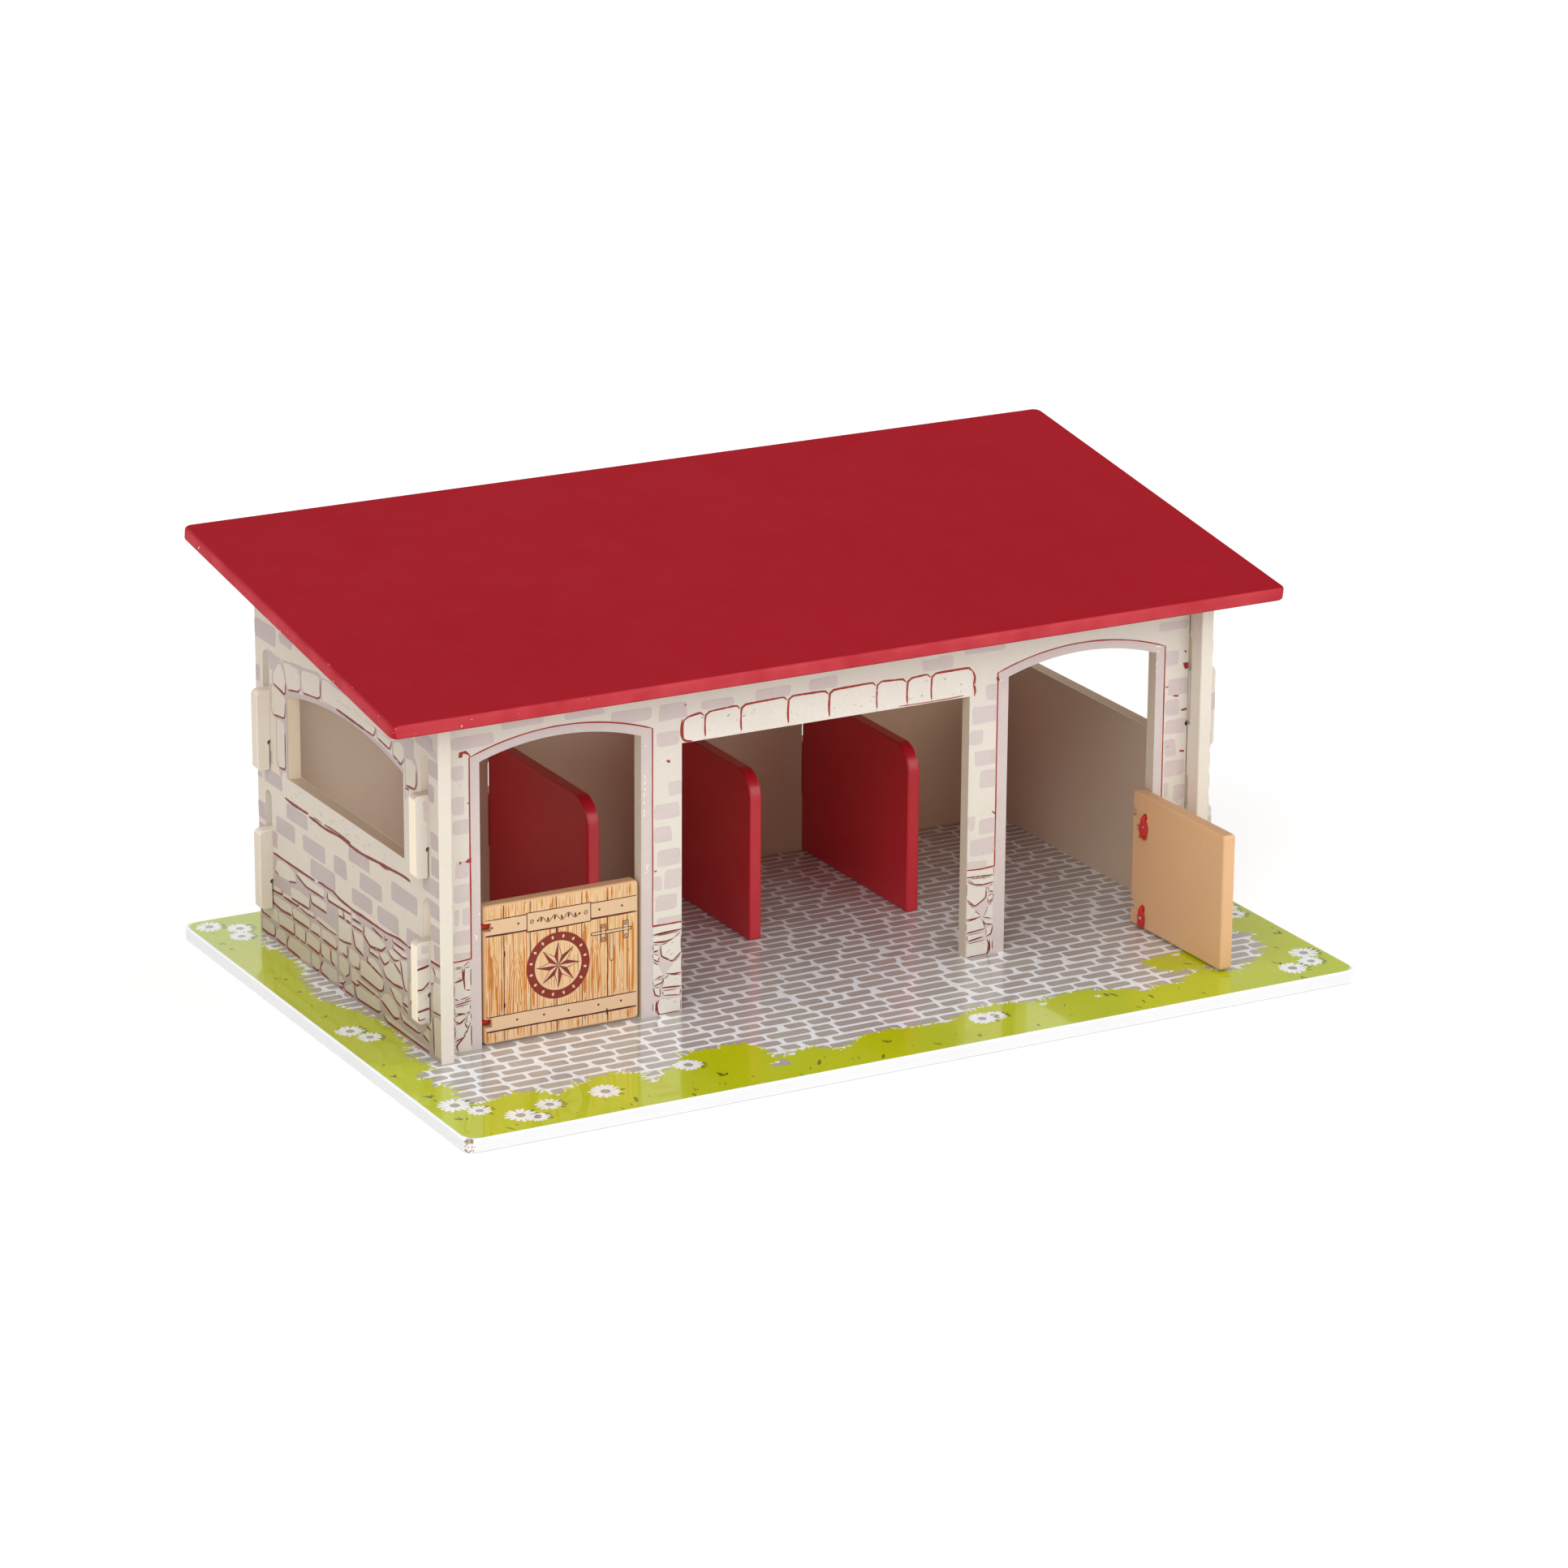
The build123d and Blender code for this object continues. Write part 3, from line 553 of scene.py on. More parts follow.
wear = base_mat.math("MAXIMUM", corner_wear(base_mat, -0.2119, -0.1429, 0.0033), corner_wear(base_mat, 0.2118, 0.1428, 0.0026))
src = base_mat.p.inputs["Base Color"].links[0].from_socket
crack = base_mat.mix(base_mat.ramp(base_mat.noise(1300.0, 3.0), 0.52, 0.56), lin(226, 220, 212), lin(122, 100, 84))
bare = base_mat.mix(base_mat.ramp(base_mat.noise(900.0, 3.0), 0.4, 0.6), lin(186, 160, 138), lin(126, 104, 88))
base_mat.colour(base_mat.mix(wear, src, base_mat.mix(base_mat.ramp(base_mat.axis("Z"), 0.0040, 0.0046), crack, bare)))

# doors: tan painted board
door_mat = painted("door_tan_paint", lin(216, 172, 129), lin(213, 168, 125), rough=(0.42, 0.52), blotch=14, grain=420, fine=0.012, bump=0.14, spec=0.3)
# painted shade: the top faces of the doors darker
tint(door_mat, door_mat.ramp(door_mat.axis("Z"), 0.0675, 0.0678), (0.80, 0.80, 0.79))
speckle(door_mat, 300.0, 0.8, lin(170, 126, 88), 0.5)


def wood(name, light, dark, along=(1.0, 0.06, 1.0), rough=(0.5, 0.65)):
    """Planed pine: long streaks, darker late wood, open pores."""
    m = Mat(name)
    v = m.stretch(*along)
    broad = m.ramp(m.noise(160.0, 5.0, 0.6, v, 0.6), 0.35, 0.65)
    fine_ = m.ramp(m.noise(1400.0, 3.0, 0.6, v), 0.35, 0.7, 0.0, 0.55)
    c = m.mix(broad, light, dark)
    c = m.mix(fine_, c, dark)
    m.colour(c)
    m.rough(rough[0], rough[1], 200.0, v)
    m.bump(m.noise(1400.0, 3.0, 0.6, v), 0.35, 0.00008)
    return m


batten_mat = wood("batten_pine", lin(214, 178, 128), lin(188, 146, 98))


def metal(name, base, alt, rough):
    m = Mat(name)
    c = m.mix(m.ramp(m.noise(900.0, 3.0), 0.3, 0.7), base, alt)
    m.colour(c)
    m.p.inputs["Metallic"].default_value = 1.0
    m.rough(rough[0], rough[1], 1500.0)
    m.bump(m.noise(2600.0, 2.0), 0.2, 0.00003)
    return m


steel_mat = metal("bright_steel", lin(226, 226, 228), lin(196, 197, 200), (0.29, 0.38))

cord_mat = Mat("red_twisted_cord")
fibre = cord_mat.noise(2400.0, 3.0, 0.65, cord_mat.stretch(1.0, 1.0, 0.35))
cord_mat.colour(cord_mat.mix(cord_mat.ramp(fibre, 0.3, 0.7), lin(168, 14, 16), lin(214, 32, 28)))
cord_mat.rough(0.6, 0.85, 900.0)
cord_mat.bump(fibre, 0.6, 0.00012)
cord_mat.p.inputs["Sheen Weight"].default_value = 0.35
cord_mat.p.inputs["Sheen Roughness"].default_value = 0.4
cord_mat.p.inputs["Sheen Tint"].default_value = (1.0, 0.5, 0.45, 1.0)

for node, m in {
    "base_board": base_mat,
    "left_wall": side_mat,
    "right_wall": side_mat,
    "front_wall": wall_mat,
    "back_wall": back_mat,
    "left_partition": part_mat,
    "middle_partition": part_mat,
    "right_partition": part_mat,
    "roof_panel": roof_mat,
    "roof_batten_left": batten_mat,
    "roof_batten_right": batten_mat,
    "roof_batten_screws": steel_mat,
    "left_door": door_mat,
    "right_door": door_mat,
    "left_door_tacks": steel_mat,
    "right_door_tacks": steel_mat,
    "front_wall_tacks": steel_mat,
}.items():
    for s in NODES[node].material_slots:
        s.material = m.m


# ------------------------------------------------------------------ inks
def ink(name, base, alt, rough=(0.42, 0.55), grain=500.0, fine=0.05, blotch=40.0, coat=None, worn=None, worn_at=0.72, worn_scale=420.0, bump=0.14, spec=0.5, foot=None):
    m = painted(name, base, alt, rough=rough, blotch=blotch, grain=grain, fine=fine, bump=bump, coat=coat, spec=spec)
    if worn:
        speckle(m, worn_scale, worn_at, worn, 0.8, 0.02)
    # painted shade with a yellowish cast of bounce from the grass, darker towards the foot of the wall
    if foot:
        tint(m, m.ramp(m.axis("Z"), 0.046, 0.020), foot)
    return m.m


CREAM = lin(224, 216, 204)
GLOSS = (0.7, 0.05)
WALL_INKS = {
    "lilac": ink("ink_lilac_grey", lin(206, 192, 189), lin(202, 187, 184), fine=0.02, worn=CREAM, worn_at=0.76, spec=0.3),
    "red": ink("ink_dark_red_line", lin(126, 42, 35), lin(112, 35, 32), grain=900, fine=0.06, worn=lin(176, 112, 96), worn_at=0.73, spec=0.3),
    "scarlet": ink("ink_scarlet_trim", lin(160, 50, 38), lin(148, 43, 35), grain=900, fine=0.06, worn=lin(208, 150, 130), worn_at=0.73, spec=0.3),
    "stone": ink("ink_stone_white", lin(228, 221, 211), lin(224, 216, 206), fine=0.02, worn=lin(214, 202, 190), worn_at=0.77, spec=0.3),
    "fleck": ink("ink_grey_fleck", lin(196, 184, 180), lin(178, 166, 162), spec=0.3),
    "scratch": ink("ink_white_scratch", lin(240, 234, 224), lin(232, 225, 214), spec=0.3),
}
# the side lilac takes the same painted shade at the foot of the wall
SIDE_INKS = dict(WALL_INKS, lilac=ink("ink_side_lilac", lin(180, 165, 161), lin(176, 160, 156), foot=(0.84, 0.82, 0.74), fine=0.02, worn=lin(214, 203, 188), worn_at=0.76, spec=0.3))
BASE_INKS = {
    "cobble": ink("ink_cobble_taupe", lin(180, 175, 170), lin(170, 166, 161), rough=(0.16, 0.26), blotch=30, fine=0.02, coat=GLOSS, bump=0.08, spec=0.4),
    "cobble2": ink("ink_cobble_grey", lin(176, 172, 166), lin(182, 176, 169), rough=(0.16, 0.26), blotch=30, fine=0.02, coat=GLOSS, bump=0.08, spec=0.4),
    "grass": ink("ink_grass_green", lin(192, 204, 6), lin(185, 197, 8), rough=(0.16, 0.26), blotch=14, fine=0.03, coat=GLOSS, bump=0.08, spec=0.3),
    "blade": ink("ink_olive_blade", lin(112, 120, 24), lin(98, 104, 24), rough=(0.18, 0.26), fine=0.05, coat=GLOSS, bump=0.08, spec=0.3),
    "petal": ink("ink_petal_white", lin(247, 252, 255), lin(241, 246, 249), rough=(0.16, 0.26), fine=0.02, coat=GLOSS, bump=0.08, spec=0.4),
    "eye": ink("ink_daisy_eye", lin(176, 168, 158), lin(160, 152, 142), rough=(0.16, 0.26), coat=GLOSS, bump=0.08, spec=0.4),
}
DOOR_INKS = {
    "tan": ink("ink_plank_tan", lin(223, 188, 146), lin(220, 184, 142), blotch=20, fine=0.015, spec=0.3),
    "orange": ink("ink_grain_orange", lin(198, 122, 46), lin(189, 112, 40), blotch=60, grain=700, fine=0.04, spec=0.3),
    "amber": ink("ink_grain_amber", lin(211, 161, 103), lin(206, 153, 93), blotch=60, grain=700, fine=0.04, spec=0.3),
    "batten": ink("ink_batten_tan", lin(219, 184, 149), lin(216, 180, 144), blotch=20, fine=0.015, spec=0.3),
    "line": ink("ink_door_line", lin(84, 30, 27), lin(72, 24, 23), grain=900, fine=0.06, spec=0.3),
    "emblem": ink("ink_emblem_red", lin(129, 44, 34), lin(120, 38, 30), grain=800, fine=0.05, worn=lin(190, 120, 96), worn_at=0.75, spec=0.3),
}


# ------------------------------------------------------------------ layouts (mm)
# side walls: (y, z); the right wall is the same print
SIDE_BRICKS = [
    (96.8, 140.8, 118.4, 149.3),
    (79.7, 144.6, 93.0, 149.2),
    (114.0, 120.7, 118.8, 128.3),
    (110.1, 59.3, 118.4, 67.1),
    (99.2, 49.6, 118.4, 56.7),
    (93.0, 77.7, 110.9, 84.2),
    (114.7, 77.5, 118.4, 80.0),
    (102.4, 86.7, 105.1, 92.9),
    (80.5, 57.9, 100.1, 65.2),
    (67.2, 67.5, 88.4, 74.3),
    (49.5, 57.7, 72.2, 65.2),
    (39.5, 48.8, 64.7, 56.7),
    (27.8, 57.7, 40.9, 65.7),
    (4.7, 67.9, 25.4, 74.1),
    (-6.8, 58.6, 14.6, 66.2),
    (-41.7, 63.6, -16.9, 71.7),
    (2.5, 49.4, 23.3, 56.8),
    (-23.4, 49.3, -2.8, 56.8),
    (-45.8, 48.7, -30.6, 56.1),
    (-58.2, 139.0, -41.4, 144.8),
    (-63.1, 128.8, -52.5, 135.7),
    (-59.5, 117.7, -51.5, 125.3),
    (-62.6, 97.9, -55.4, 104.9),
    (-63.1, 86.4, -55.4, 94.8),
    (-63.1, 78.0, -47.7, 84.9),
    (-63.1, 68.2, -49.6, 75.3),
    (-63.1, 57.8, -51.5, 64.8),
    (-63.1, 49.8, -57.3, 56.8),
]

SIDE_STONES = [
    ([(23.1, 44.9), (20.9, 45.6), (13.8, 42.9), (23.1, 42.3)], [(3, 2)]),
    ([(37.0, 45.5), (24.3, 45.4), (24.3, 43.7), (37.0, 43.2)], [(3, 2)]),
    ([(37.0, 42.6), (32.6, 42.6), (30.4, 39.7), (37.0, 39.3)], [(1, 2, 3)]),
    ([(31.4, 42.9), (24.1, 42.9), (24.1, 39.6), (29.6, 39.6)], [(2, 3)]),
    ([(23.4, 41.3), (12.4, 41.3), (12.1, 39.6), (23.3, 39.3)], [(3, 2)]),
    ([(37.0, 38.6), (24.1, 38.6), (24.0, 30.6), (32.0, 29.0), (37.0, 28.9)], [(2, 3, 4)]),
    ([(23.0, 37.7), (12.0, 37.7), (12.0, 29.1), (20.4, 30.6)], [(0, 3, 2)]),
    ([(11.1, 43.2), (-3.0, 42.9), (-10.7, 40.6), (-6.2, 37.3), (5.6, 35.6), (11.6, 38.7)], [(0, 5, 4, 3, 2)]),
    ([(2.7, 45.4), (-5.9, 44.9), (-7.6, 43.3), (-3.0, 43.9), (3.4, 44.7)], [(4, 3, 2)]),
    ([(-9.3, 45.0), (-12.3, 44.6), (-9.8, 43.1)], [(0, 2, 1)]),
    ([(-16.9, 46.0), (-30.1, 46.3), (-29.1, 44.9), (-17.3, 44.9)], [(0, 3, 2)]),
    ([(-17.1, 43.7), (-31.2, 44.1), (-31.2, 42.0), (-27.6, 41.1), (-17.4, 42.1)], [(0, 4, 3, 2)]),
    ([(-12.3, 40.1), (-17.3, 41.1), (-24.1, 40.6), (-23.4, 38.6), (-18.4, 37.1), (-14.1, 38.2)], [(0, 5, 4, 3)]),
    ([(-3.4, 34.9), (-8.7, 37.7), (-13.4, 37.3), (-13.6, 35.1), (-8.7, 31.9)], [(0, 4, 3)]),
    ([(5.6, 34.9), (-3.0, 34.9), (-3.6, 33.0), (6.4, 32.9)], [(0, 3, 2)]),
    ([(9.0, 28.0), (7.7, 30.4), (2.7, 31.3), (-2.3, 30.0), (-5.9, 27.0), (-7.1, 25.6)], [(1, 0, 5)]),
    ([(-7.3, 29.6), (-9.4, 32.5), (-14.4, 35.4), (-19.4, 35.0), (-24.8, 31.8), (-27.1, 27.5), (-18.0, 26.3), (-9.4, 27.0)], [(0, 7, 6, 5)]),
    ([(-18.4, 35.7), (-23.4, 38.7), (-24.6, 36.4), (-25.0, 33.2)], [(0, 3)]),
    ([(-24.6, 38.6), (-25.9, 39.6), (-31.2, 40.7), (-31.2, 27.4), (-28.6, 27.5), (-26.6, 31.4)], [(0, 5, 4, 3)]),
    ([(15.2, 27.0), (8.4, 27.3), (-5.9, 25.0), (-8.0, 23.9), (-7.4, 20.4), (-4.1, 18.6), (15.2, 19.4)], [(3, 4, 5, 6)]),
    ([(-13.9, 23.9), (-18.0, 25.0), (-25.0, 24.4), (-25.3, 20.0), (-24.6, 18.4), (-19.1, 19.9)], [(0, 5, 4)]),
    ([(-26.2, 20.9), (-28.0, 24.3), (-31.2, 25.6), (-31.4, 20.7)], [(0, 3)]),
    ([(19.9, 17.7), (-2.6, 17.1), (-3.0, 15.3), (19.5, 15.9)], [(3, 2)]),
    ([(-5.0, 15.1), (-5.9, 17.1), (-8.7, 19.4), (-13.0, 20.3), (-18.7, 18.6), (-22.4, 15.9), (-22.6, 12.7), (-18.0, 11.3), (-12.3, 12.9)], [(0, 8, 7, 6)]),
    ([(-26.2, 19.4), (-31.6, 20.0), (-31.6, 17.9)], [(0, 2)]),
    ([(22.1, 13.9), (-2.6, 14.6), (-4.6, 10.0), (-1.6, 8.6), (4.9, 8.4), (19.9, 7.7)], [(0, 5, 4, 3, 2)]),
    ([(-23.6, 15.9), (-37.3, 14.9), (-43.9, 13.7), (-40.9, 12.6), (-25.1, 12.7)], [(0, 4, 3, 2)]),
    ([(32.0, 8.4), (29.1, 10.7), (22.7, 13.2), (22.4, 7.5), (30.9, 7.3)], [(0, 4, 3)]),
    ([(-6.9, 9.6), (-13.0, 10.6), (-48.7, 8.9), (-51.9, 7.6), (-9.4, 7.3)], [(0, 4, 3)]),
    ([(37.0, 10.6), (30.7, 11.7), (33.4, 9.6), (37.0, 9.1)], [(1, 2, 3)]),
    ([(-45.1, 13.4), (-51.6, 18.9), (-51.6, 12.0)], [(0, 2)]),
    ([(102.2, 39.2), (99.7, 45.0), (89.7, 46.0), (82.2, 44.2), (79.7, 40.4), (88.0, 38.5), (98.8, 38.0)], [(5, 4), (0, 6)]),
    ([(79.7, 44.2), (77.6, 46.0), (51.3, 46.2), (51.2, 42.3), (70.1, 41.7)], [(0, 4, 3)]),
    ([(65.5, 39.8), (58.0, 40.8), (49.0, 40.7), (48.8, 36.5), (64.7, 36.2)], [(0, 4, 3)]),
    ([(86.3, 36.5), (76.3, 37.7), (66.3, 37.1), (65.9, 32.5), (85.5, 31.7)], [(4, 3, 2)]),
    ([(47.6, 46.2), (24.2, 46.0), (23.8, 43.8), (48.0, 42.7)], [(0, 3, 2)]),
    ([(-55.8, 46.2), (-62.6, 46.9), (-62.6, 42.9), (-58.2, 43.7)], [(0, 3)]),
    ([(-56.3, 40.2), (-62.8, 41.2), (-62.8, 27.5), (-55.4, 26.9), (-54.9, 33.3)], [(3, 2)]),
    ([(-55.4, 24.4), (-60.7, 25.8), (-62.8, 24.6), (-62.8, 8.3), (-56.3, 8.1)], [(0, 4)]),
]

SURROUND_STONES = [
    ([(99.8, 124.3), (100.5, 128.3), (95.5, 134.0), (92.2, 135.3), (89.5, 132.7), (87.2, 127.9), (87.3, 123.5), (88.7, 122.5), (93.0, 123.3)], [(0, 8, 7, 6, 5)]),
    ([(102.2, 122.7), (98.0, 123.2), (88.7, 121.5), (87.5, 119.2), (88.5, 112.5), (89.7, 111.5), (100.1, 110.3), (102.3, 112.2)], [(6, 5, 4, 3)]),
    ([(97.2, 109.6), (89.7, 109.3), (88.7, 105.8), (88.8, 88.5), (95.5, 88.0), (97.5, 90.8)], [(2, 3, 4)]),
    ([(89.3, 136.7), (85.5, 137.3), (73.8, 137.7), (72.5, 136.2), (72.0, 129.8), (73.7, 127.8), (84.5, 125.7), (85.8, 127.5), (87.3, 132.1)], [(6, 5, 4)]),
    ([(69.7, 138.5), (53.0, 140.6), (51.3, 139.2), (51.2, 132.0), (53.7, 130.5), (68.8, 128.7), (70.3, 130.7), (70.7, 135.8)], [(5, 4, 3, 2)]),
    ([(49.7, 139.2), (47.6, 140.8), (23.0, 139.6), (35.5, 135.2), (-2.5, 134.2), (-3.7, 133.3), (-1.5, 130.0), (6.7, 130.2), (35.5, 131.2), (38.0, 131.3), (49.7, 131.0)], [(8, 7), (7, 6, 5, 4)]),
    ([(-4.7, 133.5), (-19.1, 132.8), (-17.2, 128.6), (-5.4, 130.3)], [(1, 2, 3)]),
    ([(-20.8, 132.8), (-27.0, 134.7), (-31.0, 133.3), (-30.8, 128.7), (-27.8, 125.2), (-20.3, 127.3)], [(5, 4, 3)]),
    ([(-32.0, 129.4), (-37.6, 130.2), (-41.4, 129.4), (-42.6, 127.3), (-42.4, 120.8), (-40.7, 118.5), (-32.4, 117.7)], [(3, 4, 5, 6)]),
    ([(-31.8, 116.4), (-35.2, 116.7), (-31.8, 112.1)], [(0, 1)]),
]

SURROUND_LILAC = [
    [(108.0, 137.5), (103.8, 138.2), (98.8, 137.5), (95.5, 137.1), (93.0, 137.7), (90.9, 136.2), (95.5, 134.6), (98.8, 131.7), (100.3, 129.8), (103.0, 129.8), (103.2, 133.3), (108.0, 136.7)],
    [(90.1, 138.2), (88.0, 137.5), (79.7, 139.2), (69.7, 140.0), (59.7, 141.2), (53.8, 142.0), (49.7, 141.2), (51.2, 139.2), (54.7, 140.0), (69.7, 138.2), (72.5, 137.1), (73.8, 137.3), (88.8, 136.2)],
    [(-27.2, 138.1), (-30.8, 139.0), (-37.6, 140.0), (-40.5, 139.5), (-40.0, 133.3), (-41.4, 131.2), (-43.3, 128.5), (-44.3, 121.7), (-42.6, 119.3), (-41.4, 129.4), (-31.8, 129.6), (-30.8, 128.5), (-27.5, 128.9)],
    [(103.4, 122.9), (102.2, 110.4), (100.1, 109.2), (98.0, 109.2), (98.0, 90.8), (95.5, 86.7), (94.2, 84.2), (92.6, 84.2), (92.2, 87.1), (87.2, 87.5), (85.9, 85.8), (85.9, 122.9), (87.2, 123.8), (88.8, 121.7), (98.8, 123.3)],
]

SILL_LINES = [
    [(90.1, 75.8), (83.0, 75.3), (76.3, 75.4), (69.7, 75.5), (65.9, 75.7)],
    [(65.5, 74.8), (58.8, 74.7), (52.2, 74.3), (45.5, 74.5), (39.7, 75.0), (32.2, 75.2), (23.0, 74.9)],
    [(60.5, 76.0), (56.3, 75.8), (52.2, 75.7)],
    [(50.1, 75.8), (43.0, 76.2), (35.5, 76.3), (28.8, 76.1), (23.0, 75.8)],
    [(35.5, 76.3), (29.7, 75.6), (25.9, 74.8), (16.3, 74.4), (6.7, 74.8), (-3.0, 75.6), (-12.6, 76.2), (-27.0, 77.2), (-35.2, 77.1)],
    [(-4.9, 75.3), (-9.7, 75.0), (-14.5, 75.3)],
]

SIDE_TOP_LINES = [
    [(103.8, 46.8), (95.5, 46.8), (85.5, 46.9), (73.0, 47.1), (60.3, 47.4)],
    [(57.6, 47.7), (53.8, 48.3), (48.0, 48.2), (42.2, 48.4), (35.5, 47.2), (29.7, 46.8), (23.0, 46.5)],
    [(35.5, 46.9), (26.8, 46.6), (19.2, 46.4), (13.4, 46.7), (6.7, 46.7), (-3.0, 46.8), (-10.7, 46.9), (-18.3, 47.7), (-24.1, 48.2), (-32.3, 47.7)],
    [(-32.3, 47.7), (-41.4, 47.9), (-51.0, 48.3), (-63.5, 48.9)],
]

FRONT_BRICKS = [
    (-174.3, 124.1, -169.3, 130.0),
    (-174.3, 109.1, -168.8, 116.8),
    (-174.3, 100.5, -166.6, 106.8),
    (-173.4, 81.8, -166.6, 89.5),
    (-174.3, 71.4, -166.6, 79.1),
    (-174.3, 61.4, -171.6, 68.2),
    (-170.2, 60.9, -166.4, 68.6),
    (-174.3, 52.7, -166.6, 59.1),
    (-174.3, 46.4, -166.6, 49.5),
    (-80.6, 124.5, -70.2, 130.5),
    (-75.5, 102.3, -68.8, 108.6),
    (-81.6, 92.7, -70.2, 99.1),
    (-82.0, 82.3, -73.8, 89.3),
    (-80.6, 71.8, -69.7, 79.1),
    (-82.0, 61.4, -78.8, 67.7),
    (-77.0, 61.8, -68.8, 70.0),
    (-81.1, 52.3, -71.6, 59.1),
    (-80.6, 46.8, -68.8, 49.5),
    (-174.3, 136.8, -155.2, 142.3),
    (-101.6, 136.8, -83.4, 142.3),
    (-79.3, 135.5, -66.6, 142.3),
    (-152.0, 142.7, -132.9, 145.0),
    (-123.4, 142.7, -105.2, 145.0),
    (77.0, 121.4, 82.8, 128.5),
    (69.9, 111.8, 83.1, 119.1),
    (69.0, 102.3, 75.6, 109.1),
    (71.7, 92.5, 83.1, 99.1),
    (74.6, 82.3, 83.4, 90.0),
    (69.0, 63.6, 72.6, 70.5),
    (74.9, 61.4, 83.1, 68.6),
    (70.1, 52.0, 83.1, 59.8),
    (69.0, 45.9, 79.0, 49.8),
    (167.2, 123.4, 173.1, 130.2),
    (168.5, 109.8, 179.0, 117.3),
    (167.6, 100.9, 174.5, 108.4),
    (167.6, 92.5, 178.1, 98.9),
    (167.4, 82.3, 173.1, 90.2),
    (167.8, 72.9, 177.9, 80.0),
    (167.6, 63.6, 170.2, 70.6),
    (172.5, 61.4, 177.9, 68.8),
    (167.6, 52.3, 177.2, 59.1),
    (168.5, 46.2, 178.1, 49.8),
    (163.1, 139.8, 178.1, 143.6),
    (66.3, 143.2, 85.8, 145.5),
    (53.5, 138.6, 60.4, 144.5),
    (-60.2, 137.5, -44.7, 141.1),
    (-34.5, 137.7, -17.6, 142.5),
    (-9.1, 138.2, 4.6, 143.4),
    (45.3, 138.6, 60.7, 143.8),
]

PILLAR_STONES = [
    ([(-174.3, 45.3), (-167.3, 45.3), (-170.2, 43.2), (-174.3, 43.4)], []),
    ([(-174.3, 42.7), (-170.6, 42.5), (-170.2, 37.7), (-174.3, 36.9)], [(1, 2, 3)]),
    ([(-169.6, 42.5), (-166.7, 42.7), (-166.7, 32.5), (-169.5, 33.1), (-170.0, 38.2)], [(0, 4, 3)]),
    ([(-174.3, 36.2), (-170.0, 36.7), (-166.7, 32.0), (-167.3, 30.0), (-172.5, 28.9), (-174.3, 29.8)], [(4, 5)]),
    ([(-174.3, 26.4), (-170.0, 28.2), (-166.7, 29.1), (-166.7, 28.0), (-174.3, 26.9)], [(4, 3)]),
    ([(-174.3, 26.0), (-167.3, 26.7), (-166.9, 23.6), (-169.3, 22.5), (-174.3, 23.1)], [(3, 4)]),
    ([(-174.3, 22.0), (-170.0, 22.5), (-169.3, 20.7), (-172.0, 18.5), (-174.3, 20.0)], [(2, 3, 4)]),
    ([(-168.4, 21.8), (-166.7, 22.5), (-166.7, 19.5), (-168.2, 16.4), (-169.3, 18.2)], []),
    ([(-174.3, 18.2), (-170.0, 19.3), (-168.4, 15.5), (-170.6, 12.3), (-174.3, 10.9)], [(3, 4)]),
    ([(-173.6, 9.1), (-169.3, 13.2), (-166.7, 19.3), (-166.7, 6.2), (-172.9, 6.4)], [(1, 0, 4)]),
    ([(-82.4, 45.8), (-68.8, 45.8), (-68.8, 42.9), (-76.6, 42.5), (-82.4, 42.2)], [(4, 3, 2)]),
    ([(-82.4, 41.5), (-69.3, 42.1), (-72.9, 39.4), (-76.4, 38.4), (-82.4, 39.0)], [(4, 3, 2)]),
    ([(-82.4, 38.2), (-79.8, 37.6), (-80.0, 35.1), (-82.4, 34.7)], [(3, 2)]),
    ([(-78.9, 37.3), (-75.6, 37.7), (-69.1, 40.9), (-69.1, 32.9), (-73.3, 29.1), (-78.7, 32.4)], [(0, 5, 4, 3)]),
    ([(-82.4, 34.0), (-79.6, 32.5), (-79.8, 29.8), (-82.4, 31.6)], [(3, 2)]),
    ([(-82.4, 30.7), (-80.0, 28.5), (-77.6, 23.6), (-81.5, 22.5), (-82.4, 22.9)], [(3, 2)]),
    ([(-76.4, 24.2), (-72.9, 28.2), (-69.1, 32.0), (-69.1, 23.6), (-72.9, 23.5)], [(0, 4, 3)]),
    ([(-78.7, 18.2), (-77.3, 21.8), (-74.9, 23.5), (-69.1, 22.7), (-69.1, 17.5)], [(0, 4)]),
    ([(-82.4, 19.5), (-78.4, 20.4), (-77.3, 22.5), (-81.1, 21.8), (-82.4, 22.0)], [(0, 1, 2)]),
    ([(-82.4, 18.9), (-79.3, 18.5), (-79.1, 14.5), (-81.5, 15.3)], [(0, 3, 2)]),
    ([(-78.2, 16.7), (-69.6, 16.5), (-69.8, 13.6), (-77.5, 14.7)], [(3, 2)]),
    ([(-79.6, 13.1), (-69.5, 12.5), (-69.5, 6.4), (-80.0, 6.2), (-80.7, 10.9)], [(0, 4, 3, 2)]),
    ([(-82.4, 12.9), (-80.9, 12.7), (-81.1, 7.3), (-82.4, 7.1)], [(1, 2)]),
]

LINTEL_JOINTS = [-68.6, -58.3, -41.4, -19.1, 0.5, 23.4, 38.1, 49.9, 70.2]

